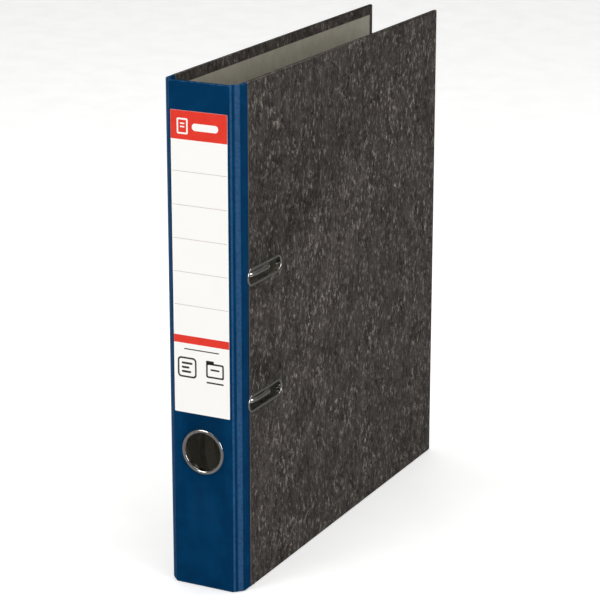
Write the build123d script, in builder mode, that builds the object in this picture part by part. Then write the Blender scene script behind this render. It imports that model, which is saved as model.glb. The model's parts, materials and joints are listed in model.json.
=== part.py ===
from build123d import *
import os
from math import cos, radians, sin, sqrt, tan

# Lever arch file for A4 sheets, with a narrow spine.
# X runs across the spine and the front cover is at +X. Y runs from the spine (-Y) to the fore edge (+Y).
# Z is up. The origin is at the middle of the footprint, on the surface that the file stands on.
# All lengths are in millimetres.

os.makedirs("parts", exist_ok=True)

# ---- Case: covers, joints and spine ----------------------------------------------------------------
HEIGHT = 318.0          # head to tail of the covers
DEPTH = 285.0           # spine to fore edge
HALF_WIDTH = 25.4       # middle plane to the outer face of a cover
JOINT_RUN = 5.6         # run of a slanted joint strip, the same along X and Y
SKIN = 0.3              # covering cloth or covering paper
BOARD = 1.9             # grey board
LINING = 0.3            # lining paper
CREASE_GAP = 0.15       # each layer stops this far from a crease's mitre plane
CLOTH_LAP = 13.3        # the spine covering reaches this far onto each cover
END_TURN_IN = 6.5       # covering seen inside, along the head and the tail
FORE_TURN_IN = 4.5      # covering seen inside, along the fore edge

WALL = SKIN + BOARD + LINING
LINED = SKIN + BOARD
INNER_X = HALF_WIDTH - WALL
SPINE_HALF = HALF_WIDTH - JOINT_RUN
MITRE = tan(radians(22.5))
STEP = CREASE_GAP / cos(radians(22.5))

# ---- Spine furniture -------------------------------------------------------------------------------
LABEL_SIZE = (38.0, 187.5)
LABEL_MID_Z = 206.75
LABEL_THICKNESS = 0.15
LABEL_CORNER = 0.8
RING_Z = 89.0
RING_BORE = 12.2
RING_NECK = 12.75
RING_FLANGE = 14.5
RING_PROUD = 0.7
RING_LIP = 0.25         # the rim starts this far out of the spine at the bore
RING_ROLL = 0.5         # run of the rolled slopes of the rim
RING_CURL = 13.9
RING_CURL_HEIGHT = 0.45
WASHER_OUTER = 16.5
WASHER_THICKNESS = 0.5
EASE = 0.05             # slack between a neck and the hole that it is closed in

SPINE_Y = RING_PROUD - (DEPTH + RING_PROUD) / 2

# ---- Cover eyelets ---------------------------------------------------------------------------------
FILING_PITCH = 80.0     # distance between the posts, and between the eyelets
MECHANISM_Z = 159.0
SLOT_DEPTH = 33.7       # spine to the middle of an eyelet
SLOT_OPENING = (41.0, 8.0)
SLOT_NECK = 0.65
SLOT_CURL = 0.975       # reach of the curl inside, beside the opening
SLOT_RIM = 1.8
SLOT_PROUD = 0.6
SLOT_WASHER = 0.4
POST_LEVELS = (MECHANISM_Z - FILING_PITCH / 2, MECHANISM_Z + FILING_PITCH / 2)

# ---- Mechanism: `rise` is measured from the back cover's lining, `deep` from the spine's outer face ----
PLATE_THICKNESS = 0.8
PLATE_SIZE = (46.0, 150.0)
PLATE_DEEP = 34.0
PLATE_CORNER = 4.0
PLATE_RIM = 2.0         # height of the plate's folded rim over the lining
PLATE_RIM_SHEET = 0.8
RIVET_SPREAD = (36.0, 134.0)
RIVET_SHANK = 1.6
RIVET_HEAD = 4.0
RIVET_PROUD = 0.6
RIVET_CLOSED = (2.8, 0.9)  # radius and height of the closed heads on the plate
LUGS = ((122.2, 1.6), (146.5, 2.5), (190.5, 2.5))  # level and thickness of each bearing lug
LUG_RADIUS = 3.4
BEARING_PLAY = 0.05

WIRE = 2.0              # radius of the arch wire
SHAFT_DEEP = 18.0
SHAFT_RISE = 4.95
POST_DEEP = 48.0
ARCH_RISE = 45.6
ARCH_CORNER = 9.0
ARCH_END_CORNER = 8.99  # a hair less than the other corners, so that a straight stays at each end
ARCH_FOOT_CORNER = 3.2
TIP_RISE = 33.1
TIP_LENGTH = 3.5
TIP_RADIUS = 0.9
CRANK = 11.0
CRANK_TILT = -8.0       # degrees below the plate's plane when the arches are shut
CRANK_LEVELS = (126.9, 137.0)
CRANK_CORNER = 3.0

POST_RADIUS = 2.4
POST_BORE = (1.9, 8.0)  # radius and depth of the mouth for the arch's tip
POST_TOP = 34.0
POST_FOOT = (3.4, 1.4)  # radius and height of the riveted foot
POST_COLLAR = (2.9, 6.0)  # radius, and rise of its top, which stops the press bar
POST_SEAT = (2.5, 8.0)  # radius, and rise of its top, of the length that the press bar rests round
POST_CHAMFER = 0.3

LEVER_PIVOT_Z = 143.5
LEVER_DEEP = (22.0, 33.0)
LEVER_SHEET = 1.0
LEVER_BOSS = 2.8
LEVER_LUG = 1.9
LEVER_BEND_Z = 79.0
LEVER_TIP_Z = 62.0
LEVER_CURL = 1.9
ROLLER_RADIUS = 2.6
ROLLER_WIDTH = 8.4
ROLLER_CHAMFER = 0.3
ROLLER_GAP = 0.36
ROLLER_ARM = 9.4
ROLLER_PHASE = 74.0     # degrees from straight below the lever's pivot
PIN_RADIUS = 1.5
PIN_HEAD = (2.4, 0.8)   # radius and height
ROLLER_PIN_RADIUS = 1.0
ROLLER_PIN_HEAD = (1.5, 0.4)
EARS_DEEP = (20.2, 33.8)
EAR_SHEET = 1.0
EAR_RADIUS = 3.0

SPRING_LEVELS = (153.0, 181.0)
SPRING_TURNS = 10.5
SPRING_RADIUS = 3.05
SPRING_WIRE = 0.5
SPRING_LEG = 5.5

CRANK_RISE = SHAFT_RISE + CRANK * sin(radians(CRANK_TILT))
CRANK_DEEP = SHAFT_DEEP + CRANK * cos(radians(CRANK_TILT))
ROLLER_RISE = CRANK_RISE + WIRE + ROLLER_GAP + ROLLER_RADIUS
ROLLER_Z = LEVER_PIVOT_Z - ROLLER_ARM * sin(radians(ROLLER_PHASE))
LEVER_PIVOT_RISE = ROLLER_RISE + ROLLER_ARM * cos(radians(ROLLER_PHASE))
LEVER_TOP = LEVER_PIVOT_RISE + 1.2
LEVER_BOTTOM = LEVER_PIVOT_RISE - 3.5
LEVER_TIP_RISE = LEVER_TOP + 4.0
LEVER_WIDTH = LEVER_DEEP[1] - LEVER_DEEP[0]

BAR_SIZE = (12.0, 112.0)
BAR_THICKNESS = 1.2
BAR_CORNER = 5.5
BAR_REST = 6.3          # rise of the press bar's underside when it is down by the post collars
BAR_HOLE = POST_SEAT[0] + 0.35
BAR_RIB = (66.0, 5.0, 0.6)  # length, width and height of the pressed rib
BAR_CHAMFER = 0.4

OVERCUT = 1.0           # cutters run this far past what they cut


def deep(distance):
    """Y of a point `distance` behind the spine's outer face."""
    return SPINE_Y + distance


def rise(distance):
    """X of a point `distance` above the back cover's lining."""
    return -INNER_X + distance


def across(distance):
    """Plane square to Y, `distance` behind the spine, drawn on in X and Z, with its normal to the spine."""
    return Plane.XZ.offset(-deep(distance))


def above(distance):
    """Plane parallel to the covers, `distance` above the back cover's lining, drawn on in Y and Z."""
    return Plane.YZ.offset(rise(distance))


# ---- Outlines of the case in plan ------------------------------------------------------------------
# A crease is a point on the outer face and the way its mitre plane leads inwards, per millimetre of depth.
SPINE_CREASE = ((SPINE_HALF, 0.0), (-MITRE, 1.0))
COVER_CREASE = ((HALF_WIDTH, JOINT_RUN), (-1.0, MITRE))
TO_SPINE = (-1.0, 0.0)
UP_JOINT = (-sqrt(0.5), -sqrt(0.5))
DOWN_JOINT = (sqrt(0.5), sqrt(0.5))
TO_FORE = (0.0, 1.0)


def by_crease(side, crease, under, away):
    """Corner of a layer beside a crease, `under` the outer face, stopped short on the `away` side."""
    (x, y), inward = crease
    return (
        side * (x + under * inward[0] + STEP * away[0]),
        SPINE_Y + y + under * inward[1] + STEP * away[1],
    )


def spine_layer(top, bottom):
    """Plan of one layer of the spine, between two depths under its outer face."""
    return [
        by_crease(-1, SPINE_CREASE, top, TO_SPINE),
        by_crease(1, SPINE_CREASE, top, TO_SPINE),
        by_crease(1, SPINE_CREASE, bottom, TO_SPINE),
        by_crease(-1, SPINE_CREASE, bottom, TO_SPINE),
    ]


def joint_layer(side, top, bottom):
    """Plan of one layer of a joint strip."""
    return [
        by_crease(side, SPINE_CREASE, top, DOWN_JOINT),
        by_crease(side, COVER_CREASE, top, UP_JOINT),
        by_crease(side, COVER_CREASE, bottom, UP_JOINT),
        by_crease(side, SPINE_CREASE, bottom, DOWN_JOINT),
    ]


def cover_layer(side, top, bottom, end):
    """Plan of one layer of a cover, from its crease to `end` behind the spine."""
    return [
        by_crease(side, COVER_CREASE, top, TO_FORE),
        (side * (HALF_WIDTH - top), deep(end)),
        (side * (HALF_WIDTH - bottom), deep(end)),
        by_crease(side, COVER_CREASE, bottom, TO_FORE),
    ]


def paper_layer(side, top, bottom, end):
    """Plan of one layer of a cover behind the edge of the spine covering."""
    return [
        (side * (HALF_WIDTH - top), deep(CLOTH_LAP)),
        (side * (HALF_WIDTH - top), deep(end)),
        (side * (HALF_WIDTH - bottom), deep(end)),
        (side * (HALF_WIDTH - bottom), deep(CLOTH_LAP)),
    ]


def slab(corners, inset):
    """Upright solid on a plan outline, `inset` from the head and the tail."""
    with BuildPart(mode=Mode.PRIVATE) as block:
        with BuildSketch(Plane.XY.offset(inset)):
            with BuildLine():
                Polyline(*corners, close=True)
            make_face()
        extrude(amount=HEIGHT - 2 * inset)
    return block.part


# ---- What is punched through the case --------------------------------------------------------------
with BuildPart() as ring_hole:
    with BuildSketch(across(-OVERCUT)):
        with Locations((0, RING_Z)):
            Circle(RING_NECK + EASE)
    extrude(amount=-(WALL + 2 * OVERCUT))

with BuildPart() as slot_holes:
    with BuildSketch(Plane.YZ.offset(INNER_X - OVERCUT)):
        with Locations(*[(deep(SLOT_DEPTH), level) for level in POST_LEVELS]):
            SlotOverall(
                SLOT_OPENING[0] + 2 * (SLOT_NECK + EASE),
                SLOT_OPENING[1] + 2 * (SLOT_NECK + EASE),
            )
    extrude(amount=WALL + 2 * OVERCUT)

with BuildPart() as rivet_holes:
    with BuildSketch(above(PLATE_THICKNESS + OVERCUT)):
        with Locations((deep(PLATE_DEEP), MECHANISM_Z)):
            with GridLocations(*RIVET_SPREAD, 2, 2):
                Circle(RIVET_SHANK + EASE)
    extrude(amount=-(WALL + PLATE_THICKNESS + 2 * OVERCUT))

# ---- Spine -----------------------------------------------------------------------------------------
with BuildPart() as spine_board:
    add(slab(spine_layer(SKIN, LINED), SKIN))
    add(ring_hole.part, mode=Mode.SUBTRACT)
spine_board.part.label = "spine_board"
export_step(spine_board.part, "parts/spine_board.step")

with BuildPart() as spine_cloth:
    add(slab(spine_layer(0, WALL), 0))
    add(slab(spine_layer(SKIN, LINED), SKIN), mode=Mode.SUBTRACT)
    add(slab(spine_layer(LINED, WALL), END_TURN_IN), mode=Mode.SUBTRACT)
    add(ring_hole.part, mode=Mode.SUBTRACT)
spine_cloth.part.label = "spine_cloth"
export_step(spine_cloth.part, "parts/spine_cloth.step")

with BuildPart() as spine_lining:
    add(slab(spine_layer(LINED, WALL), END_TURN_IN))
    add(ring_hole.part, mode=Mode.SUBTRACT)
spine_lining.part.label = "spine_lining"
export_step(spine_lining.part, "parts/spine_lining.step")

with BuildPart() as spine_label:
    with BuildSketch(across(0)):
        with Locations((0, LABEL_MID_Z)):
            RectangleRounded(*LABEL_SIZE, LABEL_CORNER)
    extrude(amount=LABEL_THICKNESS)
spine_label.part.label = "spine_label"
export_step(spine_label.part, "parts/spine_label.step")

# The ring's section is drawn to the right of its axis and turned about it.
INNER_FACE = WALL + WASHER_THICKNESS
with BuildPart() as thumb_ring:
    with BuildSketch(Plane(origin=(0, SPINE_Y, RING_Z), x_dir=(1, 0, 0), z_dir=(0, 0, 1))):
        with BuildLine():
            Polyline(
                (RING_BORE, -RING_LIP),
                (RING_BORE + RING_ROLL, -RING_PROUD),
                (RING_FLANGE - RING_ROLL, -RING_PROUD),
                (RING_FLANGE, -RING_LIP),
                (RING_FLANGE, 0),
                (RING_NECK, 0),
                (RING_NECK, INNER_FACE),
                (RING_CURL, INNER_FACE),
                (RING_CURL - RING_ROLL / 2, INNER_FACE + RING_CURL_HEIGHT),
                (RING_BORE + RING_ROLL / 2, INNER_FACE + RING_CURL_HEIGHT),
                (RING_BORE, INNER_FACE),
                close=True,
            )
        make_face()
    revolve(axis=Axis((0, SPINE_Y, RING_Z), (0, 1, 0)))
thumb_ring.part.label = "thumb_ring"
export_step(thumb_ring.part, "parts/thumb_ring.step")

with BuildPart() as thumb_ring_washer:
    with BuildSketch(across(WALL)):
        with Locations((0, RING_Z)):
            Circle(WASHER_OUTER)
            Circle(RING_NECK + EASE, mode=Mode.SUBTRACT)
    extrude(amount=-WASHER_THICKNESS)
thumb_ring_washer.part.label = "thumb_ring_washer"
export_step(thumb_ring_washer.part, "parts/thumb_ring_washer.step")

# ---- Joint strips and covers -----------------------------------------------------------------------
for word, side, holes in (("back", -1, rivet_holes.part), ("front", 1, slot_holes.part)):
    with BuildPart() as joint_board:
        add(slab(joint_layer(side, SKIN, LINED), SKIN))
    joint_board.part.label = f"{word}_joint_board"
    export_step(joint_board.part, f"parts/{word}_joint_board.step")

    with BuildPart() as joint_cloth:
        add(slab(joint_layer(side, 0, WALL), 0))
        add(slab(joint_layer(side, SKIN, LINED), SKIN), mode=Mode.SUBTRACT)
        add(slab(joint_layer(side, LINED, WALL), END_TURN_IN), mode=Mode.SUBTRACT)
    joint_cloth.part.label = f"{word}_joint_cloth"
    export_step(joint_cloth.part, f"parts/{word}_joint_cloth.step")

    with BuildPart() as joint_lining:
        add(slab(joint_layer(side, LINED, WALL), END_TURN_IN))
    joint_lining.part.label = f"{word}_joint_lining"
    export_step(joint_lining.part, f"parts/{word}_joint_lining.step")

    with BuildPart() as cover_board:
        add(slab(cover_layer(side, SKIN, LINED, DEPTH - SKIN), SKIN))
        add(holes, mode=Mode.SUBTRACT)
    cover_board.part.label = f"{word}_cover_board"
    export_step(cover_board.part, f"parts/{word}_cover_board.step")

    with BuildPart() as cover_cloth:
        add(slab(cover_layer(side, 0, WALL, CLOTH_LAP), 0))
        add(slab(cover_layer(side, SKIN, LINED, CLOTH_LAP), SKIN), mode=Mode.SUBTRACT)
        add(slab(cover_layer(side, LINED, WALL, CLOTH_LAP), END_TURN_IN), mode=Mode.SUBTRACT)
        add(holes, mode=Mode.SUBTRACT)
    cover_cloth.part.label = f"{word}_cover_cloth"
    export_step(cover_cloth.part, f"parts/{word}_cover_cloth.step")

    with BuildPart() as cover_paper:
        add(slab(paper_layer(side, 0, WALL, DEPTH), 0))
        add(slab(paper_layer(side, SKIN, LINED, DEPTH - SKIN), SKIN), mode=Mode.SUBTRACT)
        add(slab(paper_layer(side, LINED, WALL, DEPTH - FORE_TURN_IN), END_TURN_IN), mode=Mode.SUBTRACT)
        add(holes, mode=Mode.SUBTRACT)
    cover_paper.part.label = f"{word}_cover_paper"
    export_step(cover_paper.part, f"parts/{word}_cover_paper.step")

    with BuildPart() as cover_lining:
        add(slab(cover_layer(side, LINED, WALL, DEPTH - FORE_TURN_IN), END_TURN_IN))
        add(holes, mode=Mode.SUBTRACT)
    cover_lining.part.label = f"{word}_cover_lining"
    export_step(cover_lining.part, f"parts/{word}_cover_lining.step")

# ---- Oblong eyelets in the front cover, each closed over a washer inside -----------------------------
for word, level in zip(("lower", "upper"), POST_LEVELS):
    with BuildPart() as eyelet:
        with BuildSketch(Plane.YZ.offset(HALF_WIDTH)):
            with Locations((deep(SLOT_DEPTH), level)):
                SlotOverall(SLOT_OPENING[0] + 2 * SLOT_RIM, SLOT_OPENING[1] + 2 * SLOT_RIM)
        extrude(amount=SLOT_PROUD)
        fillet(eyelet.faces().sort_by(Axis.X)[-1].edges(), SLOT_PROUD * 0.8)
        with BuildSketch(Plane.YZ.offset(INNER_X - SLOT_WASHER)):
            with Locations((deep(SLOT_DEPTH), level)):
                SlotOverall(SLOT_OPENING[0] + 2 * SLOT_NECK, SLOT_OPENING[1] + 2 * SLOT_NECK)
        extrude(amount=WALL + SLOT_WASHER)
        with BuildSketch(Plane.YZ.offset(INNER_X - SLOT_WASHER)):
            with Locations((deep(SLOT_DEPTH), level)):
                SlotOverall(SLOT_OPENING[0] + 2 * SLOT_CURL, SLOT_OPENING[1] + 2 * SLOT_CURL)
        extrude(amount=-SLOT_WASHER)
        with BuildSketch(Plane.YZ.offset(INNER_X - 2 * SLOT_WASHER)):
            with Locations((deep(SLOT_DEPTH), level)):
                SlotOverall(*SLOT_OPENING)
        extrude(amount=WALL + 2 * SLOT_WASHER + SLOT_PROUD, mode=Mode.SUBTRACT)
    eyelet.part.label = f"eyelet_{word}"
    export_step(eyelet.part, f"parts/eyelet_{word}.step")

    with BuildPart() as eyelet_washer:
        with BuildSketch(Plane.YZ.offset(INNER_X)):
            with Locations((deep(SLOT_DEPTH), level)):
                SlotOverall(SLOT_OPENING[0] + 2 * SLOT_RIM, SLOT_OPENING[1] + 2 * SLOT_RIM)
                SlotOverall(
                    SLOT_OPENING[0] + 2 * (SLOT_NECK + EASE),
                    SLOT_OPENING[1] + 2 * (SLOT_NECK + EASE),
                    mode=Mode.SUBTRACT,
                )
        extrude(amount=-SLOT_WASHER)
    eyelet_washer.part.label = f"eyelet_washer_{word}"
    export_step(eyelet_washer.part, f"parts/eyelet_washer_{word}.step")

# ---- Base plate: a tray of sheet steel with three bearing lugs and two ears folded up from it ---------
RIM_INNER = (PLATE_SIZE[0] - 2 * PLATE_RIM_SHEET, PLATE_SIZE[1] - 2 * PLATE_RIM_SHEET)

with BuildPart() as base_plate:
    with BuildSketch(above(0)):
        with Locations((deep(PLATE_DEEP), MECHANISM_Z)):
            RectangleRounded(*PLATE_SIZE, PLATE_CORNER)
    extrude(amount=PLATE_THICKNESS)
    with BuildSketch(above(PLATE_THICKNESS)):
        with Locations((deep(PLATE_DEEP), MECHANISM_Z)):
            RectangleRounded(*PLATE_SIZE, PLATE_CORNER)
            RectangleRounded(*RIM_INNER, PLATE_CORNER - PLATE_RIM_SHEET, mode=Mode.SUBTRACT)
    extrude(amount=PLATE_RIM - PLATE_THICKNESS)
    for level, thickness in LUGS:
        with BuildSketch(Plane.XY.offset(level)):
            with Locations((rise(SHAFT_RISE), deep(SHAFT_DEEP))):
                Circle(LUG_RADIUS)
            with Locations((rise(SHAFT_RISE / 2), deep(SHAFT_DEEP))):
                Rectangle(SHAFT_RISE, 2 * LUG_RADIUS)
        extrude(amount=thickness)
    for distance in EARS_DEEP:
        with BuildSketch(across(distance)):
            with Locations((rise(LEVER_PIVOT_RISE), LEVER_PIVOT_Z)):
                Circle(EAR_RADIUS)
            with Locations((rise(LEVER_PIVOT_RISE / 2), LEVER_PIVOT_Z)):
                Rectangle(LEVER_PIVOT_RISE, 2 * EAR_RADIUS)
        extrude(amount=-EAR_SHEET)
    with BuildSketch(Plane.XY.offset(MECHANISM_Z - PLATE_SIZE[1] / 2)):
        with Locations((rise(SHAFT_RISE), deep(SHAFT_DEEP))):
            Circle(WIRE + BEARING_PLAY)
    extrude(amount=PLATE_SIZE[1], mode=Mode.SUBTRACT)
    with BuildSketch(across(EARS_DEEP[0] - OVERCUT)):
        with Locations((rise(LEVER_PIVOT_RISE), LEVER_PIVOT_Z)):
            Circle(PIN_RADIUS + EASE)
    extrude(amount=-(EARS_DEEP[1] - EARS_DEEP[0] + EAR_SHEET + 2 * OVERCUT), mode=Mode.SUBTRACT)
    add(rivet_holes.part, mode=Mode.SUBTRACT)
base_plate.part.label = "base_plate"
export_step(base_plate.part, "parts/base_plate.step")

# ---- Filing posts: turned tubes with a foot, a collar for the press bar and a mouth for the arch tip ---
for word, level in zip(("lower", "upper"), POST_LEVELS):
    with BuildPart() as post:
        with BuildSketch(above(PLATE_THICKNESS)):
            with Locations((deep(POST_DEEP), level)):
                Circle(POST_FOOT[0])
        extrude(amount=POST_FOOT[1])
        with BuildSketch(above(PLATE_THICKNESS)):
            with Locations((deep(POST_DEEP), level)):
                Circle(POST_COLLAR[0])
        extrude(amount=POST_COLLAR[1] - PLATE_THICKNESS)
        with BuildSketch(above(PLATE_THICKNESS)):
            with Locations((deep(POST_DEEP), level)):
                Circle(POST_SEAT[0])
        extrude(amount=POST_SEAT[1] - PLATE_THICKNESS)
        with BuildSketch(above(PLATE_THICKNESS)):
            with Locations((deep(POST_DEEP), level)):
                Circle(POST_RADIUS)
        extrude(amount=POST_TOP - PLATE_THICKNESS)
        chamfer(post.faces().sort_by(Axis.X)[-1].edges(), POST_CHAMFER)
        with BuildSketch(above(POST_TOP)):
            with Locations((deep(POST_DEEP), level)):
                Circle(POST_BORE[0])
        extrude(amount=-POST_BORE[1], mode=Mode.SUBTRACT)
    post.part.label = f"post_{word}"
    export_step(post.part, f"parts/post_{word}.step")

# ---- Mounting rivets: flat heads outside, shanks through the cover, closed heads on the plate ---------
with BuildPart() as mounting_rivets:
    with BuildSketch(Plane.YZ.offset(-HALF_WIDTH - RIVET_PROUD)):
        with Locations((deep(PLATE_DEEP), MECHANISM_Z)):
            with GridLocations(*RIVET_SPREAD, 2, 2):
                Circle(RIVET_HEAD)
    extrude(amount=RIVET_PROUD)
    outer_rims = mounting_rivets.edges().group_by(Axis.X)[0]
    chamfer(outer_rims, RIVET_PROUD / 2)
    with BuildSketch(Plane.YZ.offset(-HALF_WIDTH)):
        with Locations((deep(PLATE_DEEP), MECHANISM_Z)):
            with GridLocations(*RIVET_SPREAD, 2, 2):
                Circle(RIVET_SHANK)
    extrude(amount=WALL + PLATE_THICKNESS)
    with BuildSketch(above(PLATE_THICKNESS)):
        with Locations((deep(PLATE_DEEP), MECHANISM_Z)):
            with GridLocations(*RIVET_SPREAD, 2, 2):
                Circle(RIVET_CLOSED[0])
    extrude(amount=RIVET_CLOSED[1])
    inner_rims = mounting_rivets.edges().group_by(Axis.X)[-1]
    chamfer(inner_rims, RIVET_CLOSED[1] / 2)
mounting_rivets.part.label = "mounting_rivets"
export_step(mounting_rivets.part, "parts/mounting_rivets.step")

# ---- Lever pin ---------------------------------------------------------------------------------------
with BuildPart() as lever_pin:
    with BuildSketch(across(EARS_DEEP[0] - EASE)):
        with Locations((rise(LEVER_PIVOT_RISE), LEVER_PIVOT_Z)):
            Circle(PIN_HEAD[0])
    extrude(amount=PIN_HEAD[1])
    with BuildSketch(across(EARS_DEEP[0] - EASE)):
        with Locations((rise(LEVER_PIVOT_RISE), LEVER_PIVOT_Z)):
            Circle(PIN_RADIUS)
    extrude(amount=-(EARS_DEEP[1] - EARS_DEEP[0] + EAR_SHEET + 2 * EASE))
    with BuildSketch(across(EARS_DEEP[1] + EAR_SHEET + EASE)):
        with Locations((rise(LEVER_PIVOT_RISE), LEVER_PIVOT_Z)):
            Circle(PIN_HEAD[0])
    extrude(amount=-PIN_HEAD[1])
lever_pin.part.label = "lever_pin"
export_step(lever_pin.part, "parts/lever_pin.step")

# ---- Opening spring: a coil round the arch shaft with one leg on the plate and one above the shaft -----
coil_start = (rise(SHAFT_RISE), deep(SHAFT_DEEP), SPRING_LEVELS[0])
coil_plane = Plane(origin=coil_start, x_dir=(-1, 0, 0), z_dir=(0, 0, 1))
coil_height = SPRING_LEVELS[1] - SPRING_LEVELS[0]

with BuildPart() as opening_spring:
    with BuildLine(coil_plane) as coil:
        Helix(coil_height / SPRING_TURNS, coil_height, SPRING_RADIUS)
    with BuildSketch(Plane(origin=coil.line @ 0, z_dir=coil.line % 0)):
        Circle(SPRING_WIRE)
    sweep(path=coil.line, is_frenet=True)
    with BuildSketch(Plane(origin=coil.line @ 0, z_dir=coil.line % 0)):
        Circle(SPRING_WIRE)
    extrude(amount=-SPRING_LEG)
    with BuildSketch(Plane(origin=coil.line @ 1, z_dir=coil.line % 1)):
        Circle(SPRING_WIRE)
    extrude(amount=SPRING_LEG)
opening_spring.part.label = "opening_spring"
export_step(opening_spring.part, "parts/opening_spring.step")

# ---- Arch wire: both arches, the shaft and the crank, bent from one length of wire --------------------
lower, upper = POST_LEVELS
shaft = (rise(SHAFT_RISE), deep(SHAFT_DEEP))
crank_place = (rise(CRANK_RISE), deep(CRANK_DEEP))

with BuildPart() as arch_wire:
    with BuildLine() as wire_path:
        FilletPolyline(
            (rise(TIP_RISE + TIP_LENGTH), deep(POST_DEEP), upper),
            (rise(ARCH_RISE), deep(POST_DEEP), upper),
            (rise(ARCH_RISE), deep(SHAFT_DEEP), upper),
            (*shaft, upper),
            (*shaft, CRANK_LEVELS[1]),
            (*crank_place, CRANK_LEVELS[1]),
            (*crank_place, CRANK_LEVELS[0]),
            (*shaft, CRANK_LEVELS[0]),
            (*shaft, lower),
            (rise(ARCH_RISE), deep(SHAFT_DEEP), lower),
            (rise(ARCH_RISE), deep(POST_DEEP), lower),
            (rise(TIP_RISE + TIP_LENGTH), deep(POST_DEEP), lower),
            radius=[
                ARCH_END_CORNER,
                ARCH_CORNER,
                ARCH_FOOT_CORNER,
                CRANK_CORNER,
                CRANK_CORNER,
                CRANK_CORNER,
                CRANK_CORNER,
                ARCH_FOOT_CORNER,
                ARCH_CORNER,
                ARCH_END_CORNER,
            ],
        )
    with BuildSketch(above(TIP_RISE + TIP_LENGTH)):
        with Locations((deep(POST_DEEP), upper)):
            Circle(WIRE)
    sweep(path=wire_path.line)
    for level in POST_LEVELS:
        with BuildSketch(above(TIP_RISE + TIP_LENGTH)):
            with Locations((deep(POST_DEEP), level)):
                Circle(WIRE)
        with BuildSketch(above(TIP_RISE)):
            with Locations((deep(POST_DEEP), level)):
                Circle(TIP_RADIUS)
        loft()
arch_wire.part.label = "arch_wire"
export_step(arch_wire.part, "parts/arch_wire.step")

# ---- Lever: a channel of sheet steel, bossed at the pivot and turned up at the tip --------------------
with BuildPart() as lever:
    with BuildSketch(across(LEVER_DEEP[1])):
        with Locations((rise(LEVER_PIVOT_RISE), LEVER_PIVOT_Z)):
            Circle(LEVER_BOSS)
        with Locations((rise(ROLLER_RISE), ROLLER_Z)):
            Circle(LEVER_LUG)
        with BuildLine():
            Polyline(
                (rise(LEVER_TOP), LEVER_PIVOT_Z),
                (rise(LEVER_TOP), LEVER_BEND_Z),
                (rise(LEVER_TIP_RISE), LEVER_TIP_Z),
                (rise(LEVER_TIP_RISE - LEVER_SHEET), LEVER_TIP_Z),
                (rise(LEVER_BOTTOM + 1), LEVER_BEND_Z - 3),
                (rise(LEVER_BOTTOM), LEVER_BEND_Z + 10),
                (rise(LEVER_BOTTOM), LEVER_PIVOT_Z),
                close=True,
            )
        make_face()
    extrude(amount=LEVER_WIDTH)
    with BuildSketch(across(LEVER_DEEP[1] - LEVER_SHEET)):
        with BuildLine():
            Polyline(
                (rise(LEVER_TOP - LEVER_SHEET), LEVER_PIVOT_Z + LEVER_BOSS + 1),
                (rise(LEVER_TOP - LEVER_SHEET), LEVER_BEND_Z),
                (rise(LEVER_TIP_RISE - LEVER_SHEET), LEVER_TIP_Z),
                (rise(0), LEVER_TIP_Z),
                (rise(0), LEVER_PIVOT_Z + LEVER_BOSS + 1),
                close=True,
            )
        make_face()
    extrude(amount=LEVER_WIDTH - 2 * LEVER_SHEET, mode=Mode.SUBTRACT)
    with BuildSketch(across(LEVER_DEEP[1] - LEVER_SHEET)):
        with Locations((rise(LEVER_PIVOT_RISE), LEVER_PIVOT_Z)):
            Rectangle(3 * LEVER_BOSS, 3 * LEVER_BOSS)
    extrude(amount=LEVER_WIDTH - 2 * LEVER_SHEET, mode=Mode.SUBTRACT)
    with BuildSketch(across(LEVER_DEEP[1])):
        with Locations((rise(LEVER_TIP_RISE - LEVER_SHEET / 2), LEVER_TIP_Z)):
            Circle(LEVER_CURL)
            Circle(LEVER_CURL - LEVER_SHEET, mode=Mode.SUBTRACT)
    extrude(amount=LEVER_WIDTH)
    with BuildSketch(across(LEVER_DEEP[0] - OVERCUT)):
        with Locations((rise(LEVER_PIVOT_RISE), LEVER_PIVOT_Z)):
            Circle(PIN_RADIUS + BEARING_PLAY)
        with Locations((rise(ROLLER_RISE), ROLLER_Z)):
            Circle(ROLLER_PIN_RADIUS + EASE)
    extrude(amount=-(LEVER_WIDTH + 2 * OVERCUT), mode=Mode.SUBTRACT)
lever.part.label = "lever"
export_step(lever.part, "parts/lever.step")

# ---- Pressure roller on its pin, between the lever's flanges ------------------------------------------
with BuildPart() as roller:
    with BuildSketch(across((LEVER_DEEP[0] + LEVER_DEEP[1] + ROLLER_WIDTH) / 2)):
        with Locations((rise(ROLLER_RISE), ROLLER_Z)):
            Circle(ROLLER_RADIUS)
            Circle(ROLLER_PIN_RADIUS + EASE, mode=Mode.SUBTRACT)
    extrude(amount=ROLLER_WIDTH)
    chamfer(roller.faces().sort_by(Axis.Y)[0].outer_wire().edges(), ROLLER_CHAMFER)
    chamfer(roller.faces().sort_by(Axis.Y)[-1].outer_wire().edges(), ROLLER_CHAMFER)
roller.part.label = "roller"
export_step(roller.part, "parts/roller.step")

with BuildPart() as roller_pin:
    for face, way in ((LEVER_DEEP[0], 1), (LEVER_DEEP[1], -1)):
        with BuildSketch(across(face)):
            with Locations((rise(ROLLER_RISE), ROLLER_Z)):
                Circle(ROLLER_PIN_HEAD[0])
        extrude(amount=way * ROLLER_PIN_HEAD[1])
    with BuildSketch(across(LEVER_DEEP[1])):
        with Locations((rise(ROLLER_RISE), ROLLER_Z)):
            Circle(ROLLER_PIN_RADIUS)
    extrude(amount=LEVER_WIDTH)
roller_pin.part.label = "roller_pin"
export_step(roller_pin.part, "parts/roller_pin.step")

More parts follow.
